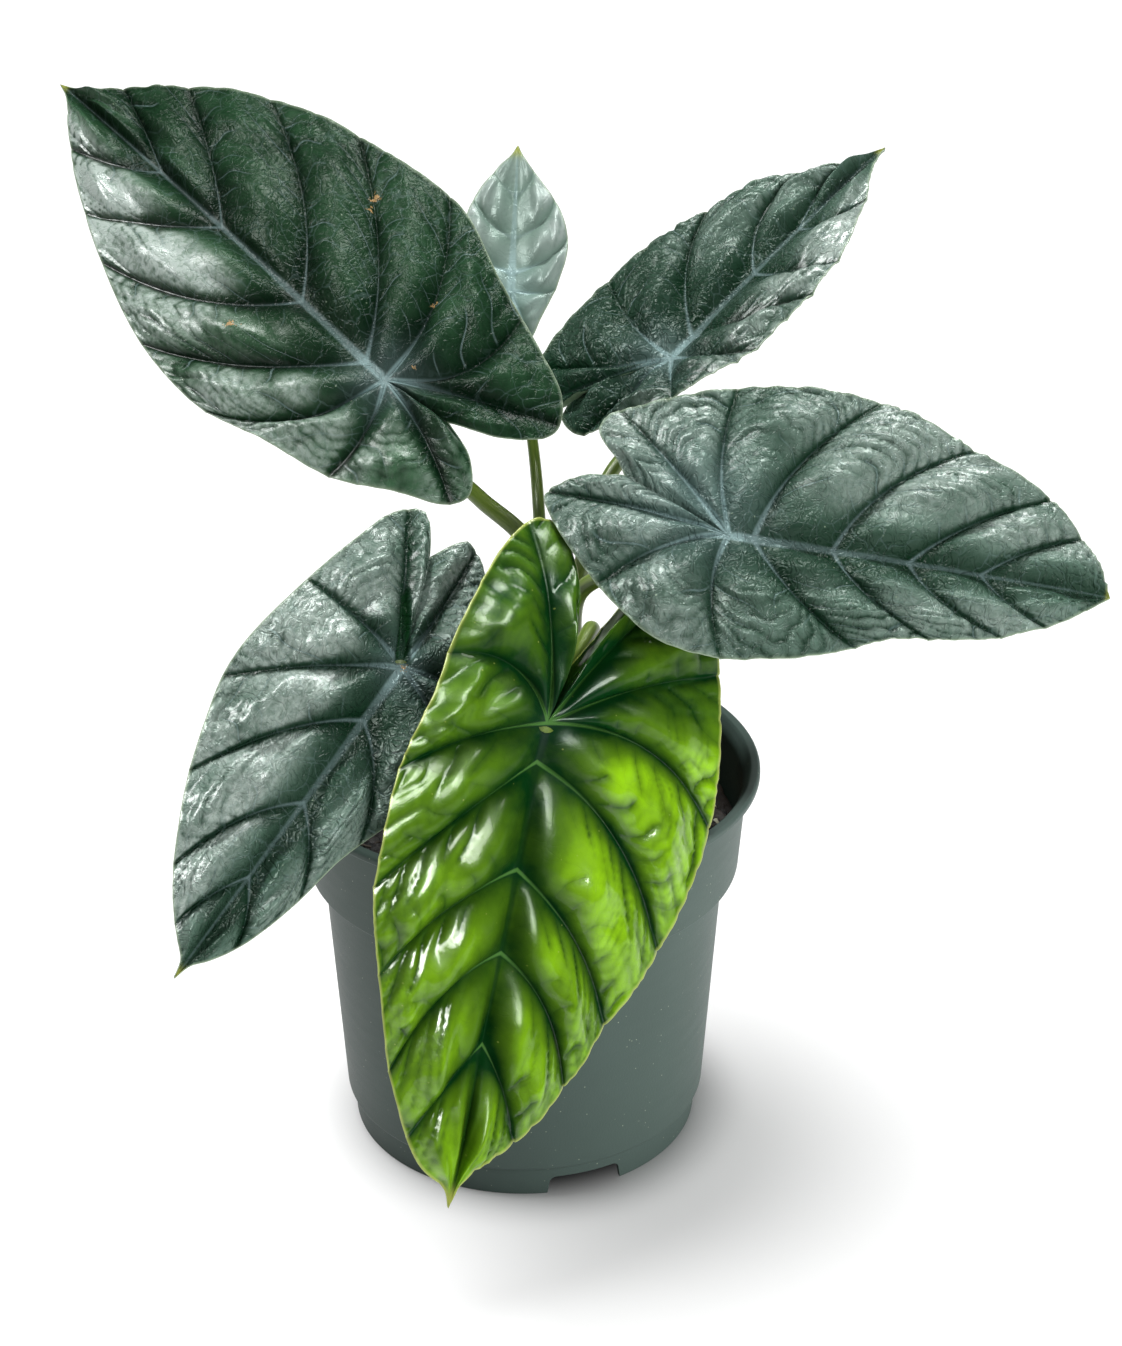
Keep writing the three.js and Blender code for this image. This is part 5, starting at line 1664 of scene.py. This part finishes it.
def make_light(name, place, size, power, hidden_from, lit):
    """A soft light that faces the middle of the plant, for its shading, for its gloss, or for both"""
    light = bpy.data.lights.new(name, "AREA")
    light.shape = "RECTANGLE"
    light.size, light.size_y = size
    light.energy = power
    lamp = bpy.data.objects.new(name, light)
    lamp.location = Vector(place) + Vector(POT_AXIS)
    aim = Vector((0, 0, LIT_HEIGHT)) + Vector(POT_AXIS) - lamp.location
    lamp.rotation_euler = aim.to_track_quat("-Z", "Y").to_euler()
    if hidden_from:
        setattr(lamp, hidden_from, False)
    if lit:
        lamp.light_linking.receiver_collection = linked(f"{name}_lit", *lit)
    bpy.context.scene.collection.objects.link(lamp)


def make_world(strength):
    """Even white light from all round, which nothing mirrors"""
    world = bpy.data.worlds.new("studio")
    world.use_nodes = True
    background = world.node_tree.nodes["Background"]
    background.inputs["Color"].default_value = (1, 1, 1, 1)
    background.inputs["Strength"].default_value = strength
    world.cycles_visibility.glossy = False
    bpy.context.scene.world = world


def make_camera(focal_length):
    """The camera of the photograph: a metre in front of the pot and looking down on it"""
    yaw, pitch = math.radians(CAMERA_YAW), math.radians(CAMERA_PITCH)
    forward = Vector((math.sin(yaw) * math.cos(pitch), math.cos(yaw) * math.cos(pitch), -math.sin(pitch)))
    right = Vector((math.cos(yaw), -math.sin(yaw), 0))
    up = right.cross(forward)
    data = bpy.data.cameras.new("camera")
    data.lens = focal_length
    data.sensor_width = SENSOR_WIDTH
    data.clip_start = CLIP_START
    data.clip_end = CLIP_END
    camera = bpy.data.objects.new("camera", data)
    turn = Matrix((right, up, -forward)).transposed().to_4x4()
    camera.matrix_world = Matrix.Translation(Vector(CAMERA_PLACE) + Vector(POT_AXIS)) @ turn
    bpy.context.scene.collection.objects.link(camera)
    bpy.context.scene.camera = camera


class ALOCASIA_PT_panel(bpy.types.Panel):
    """Lists the settings of each group of pieces, with a button that makes it"""

    bl_idname = "ALOCASIA_PT_panel"
    bl_label = "Alocasia"
    bl_space_type = "VIEW_3D"
    bl_region_type = "UI"
    bl_category = "Alocasia"

    def draw(self, context):
        for title, operator, settings in PIECES:
            box = self.layout.box()
            box.label(text=title)
            group = getattr(context.scene, settings)
            for name in group.__annotations__:
                box.prop(group, name)
            box.operator(operator)


# Title, operator and settings of each group of pieces, in the order in which they are made
PIECES = [
    ("Pot", "alocasia.pot", "alocasia_pot"),
    ("Potting mix", "alocasia.mix", "alocasia_mix"),
    ("Petioles", "alocasia.petioles", "alocasia_petioles"),
    ("Leaves", "alocasia.leaves", "alocasia_leaves"),
    ("Stage", "alocasia.stage", "alocasia_stage"),
]

SETTINGS = {
    "alocasia_pot": AlocasiaPotSettings,
    "alocasia_mix": AlocasiaMixSettings,
    "alocasia_petioles": AlocasiaPetioleSettings,
    "alocasia_leaves": AlocasiaLeafSettings,
    "alocasia_stage": AlocasiaStageSettings,
}

CLASSES = [
    *SETTINGS.values(), ALOCASIA_OT_pot, ALOCASIA_OT_mix, ALOCASIA_OT_petioles, ALOCASIA_OT_leaves,
    ALOCASIA_OT_stage, ALOCASIA_PT_panel,
]


def register():
    for cls in CLASSES:
        bpy.utils.register_class(cls)
    for title, group in SETTINGS.items():
        setattr(bpy.types.Scene, title, bpy.props.PointerProperty(type=group))


def unregister():
    for title in SETTINGS:
        delattr(bpy.types.Scene, title)
    for cls in reversed(CLASSES):
        bpy.utils.unregister_class(cls)


def main():
    register()
    for _, operator, _ in PIECES:
        group, name = operator.split(".")
        getattr(getattr(bpy.ops, group), name)()


if __name__ == "__main__":
    main()
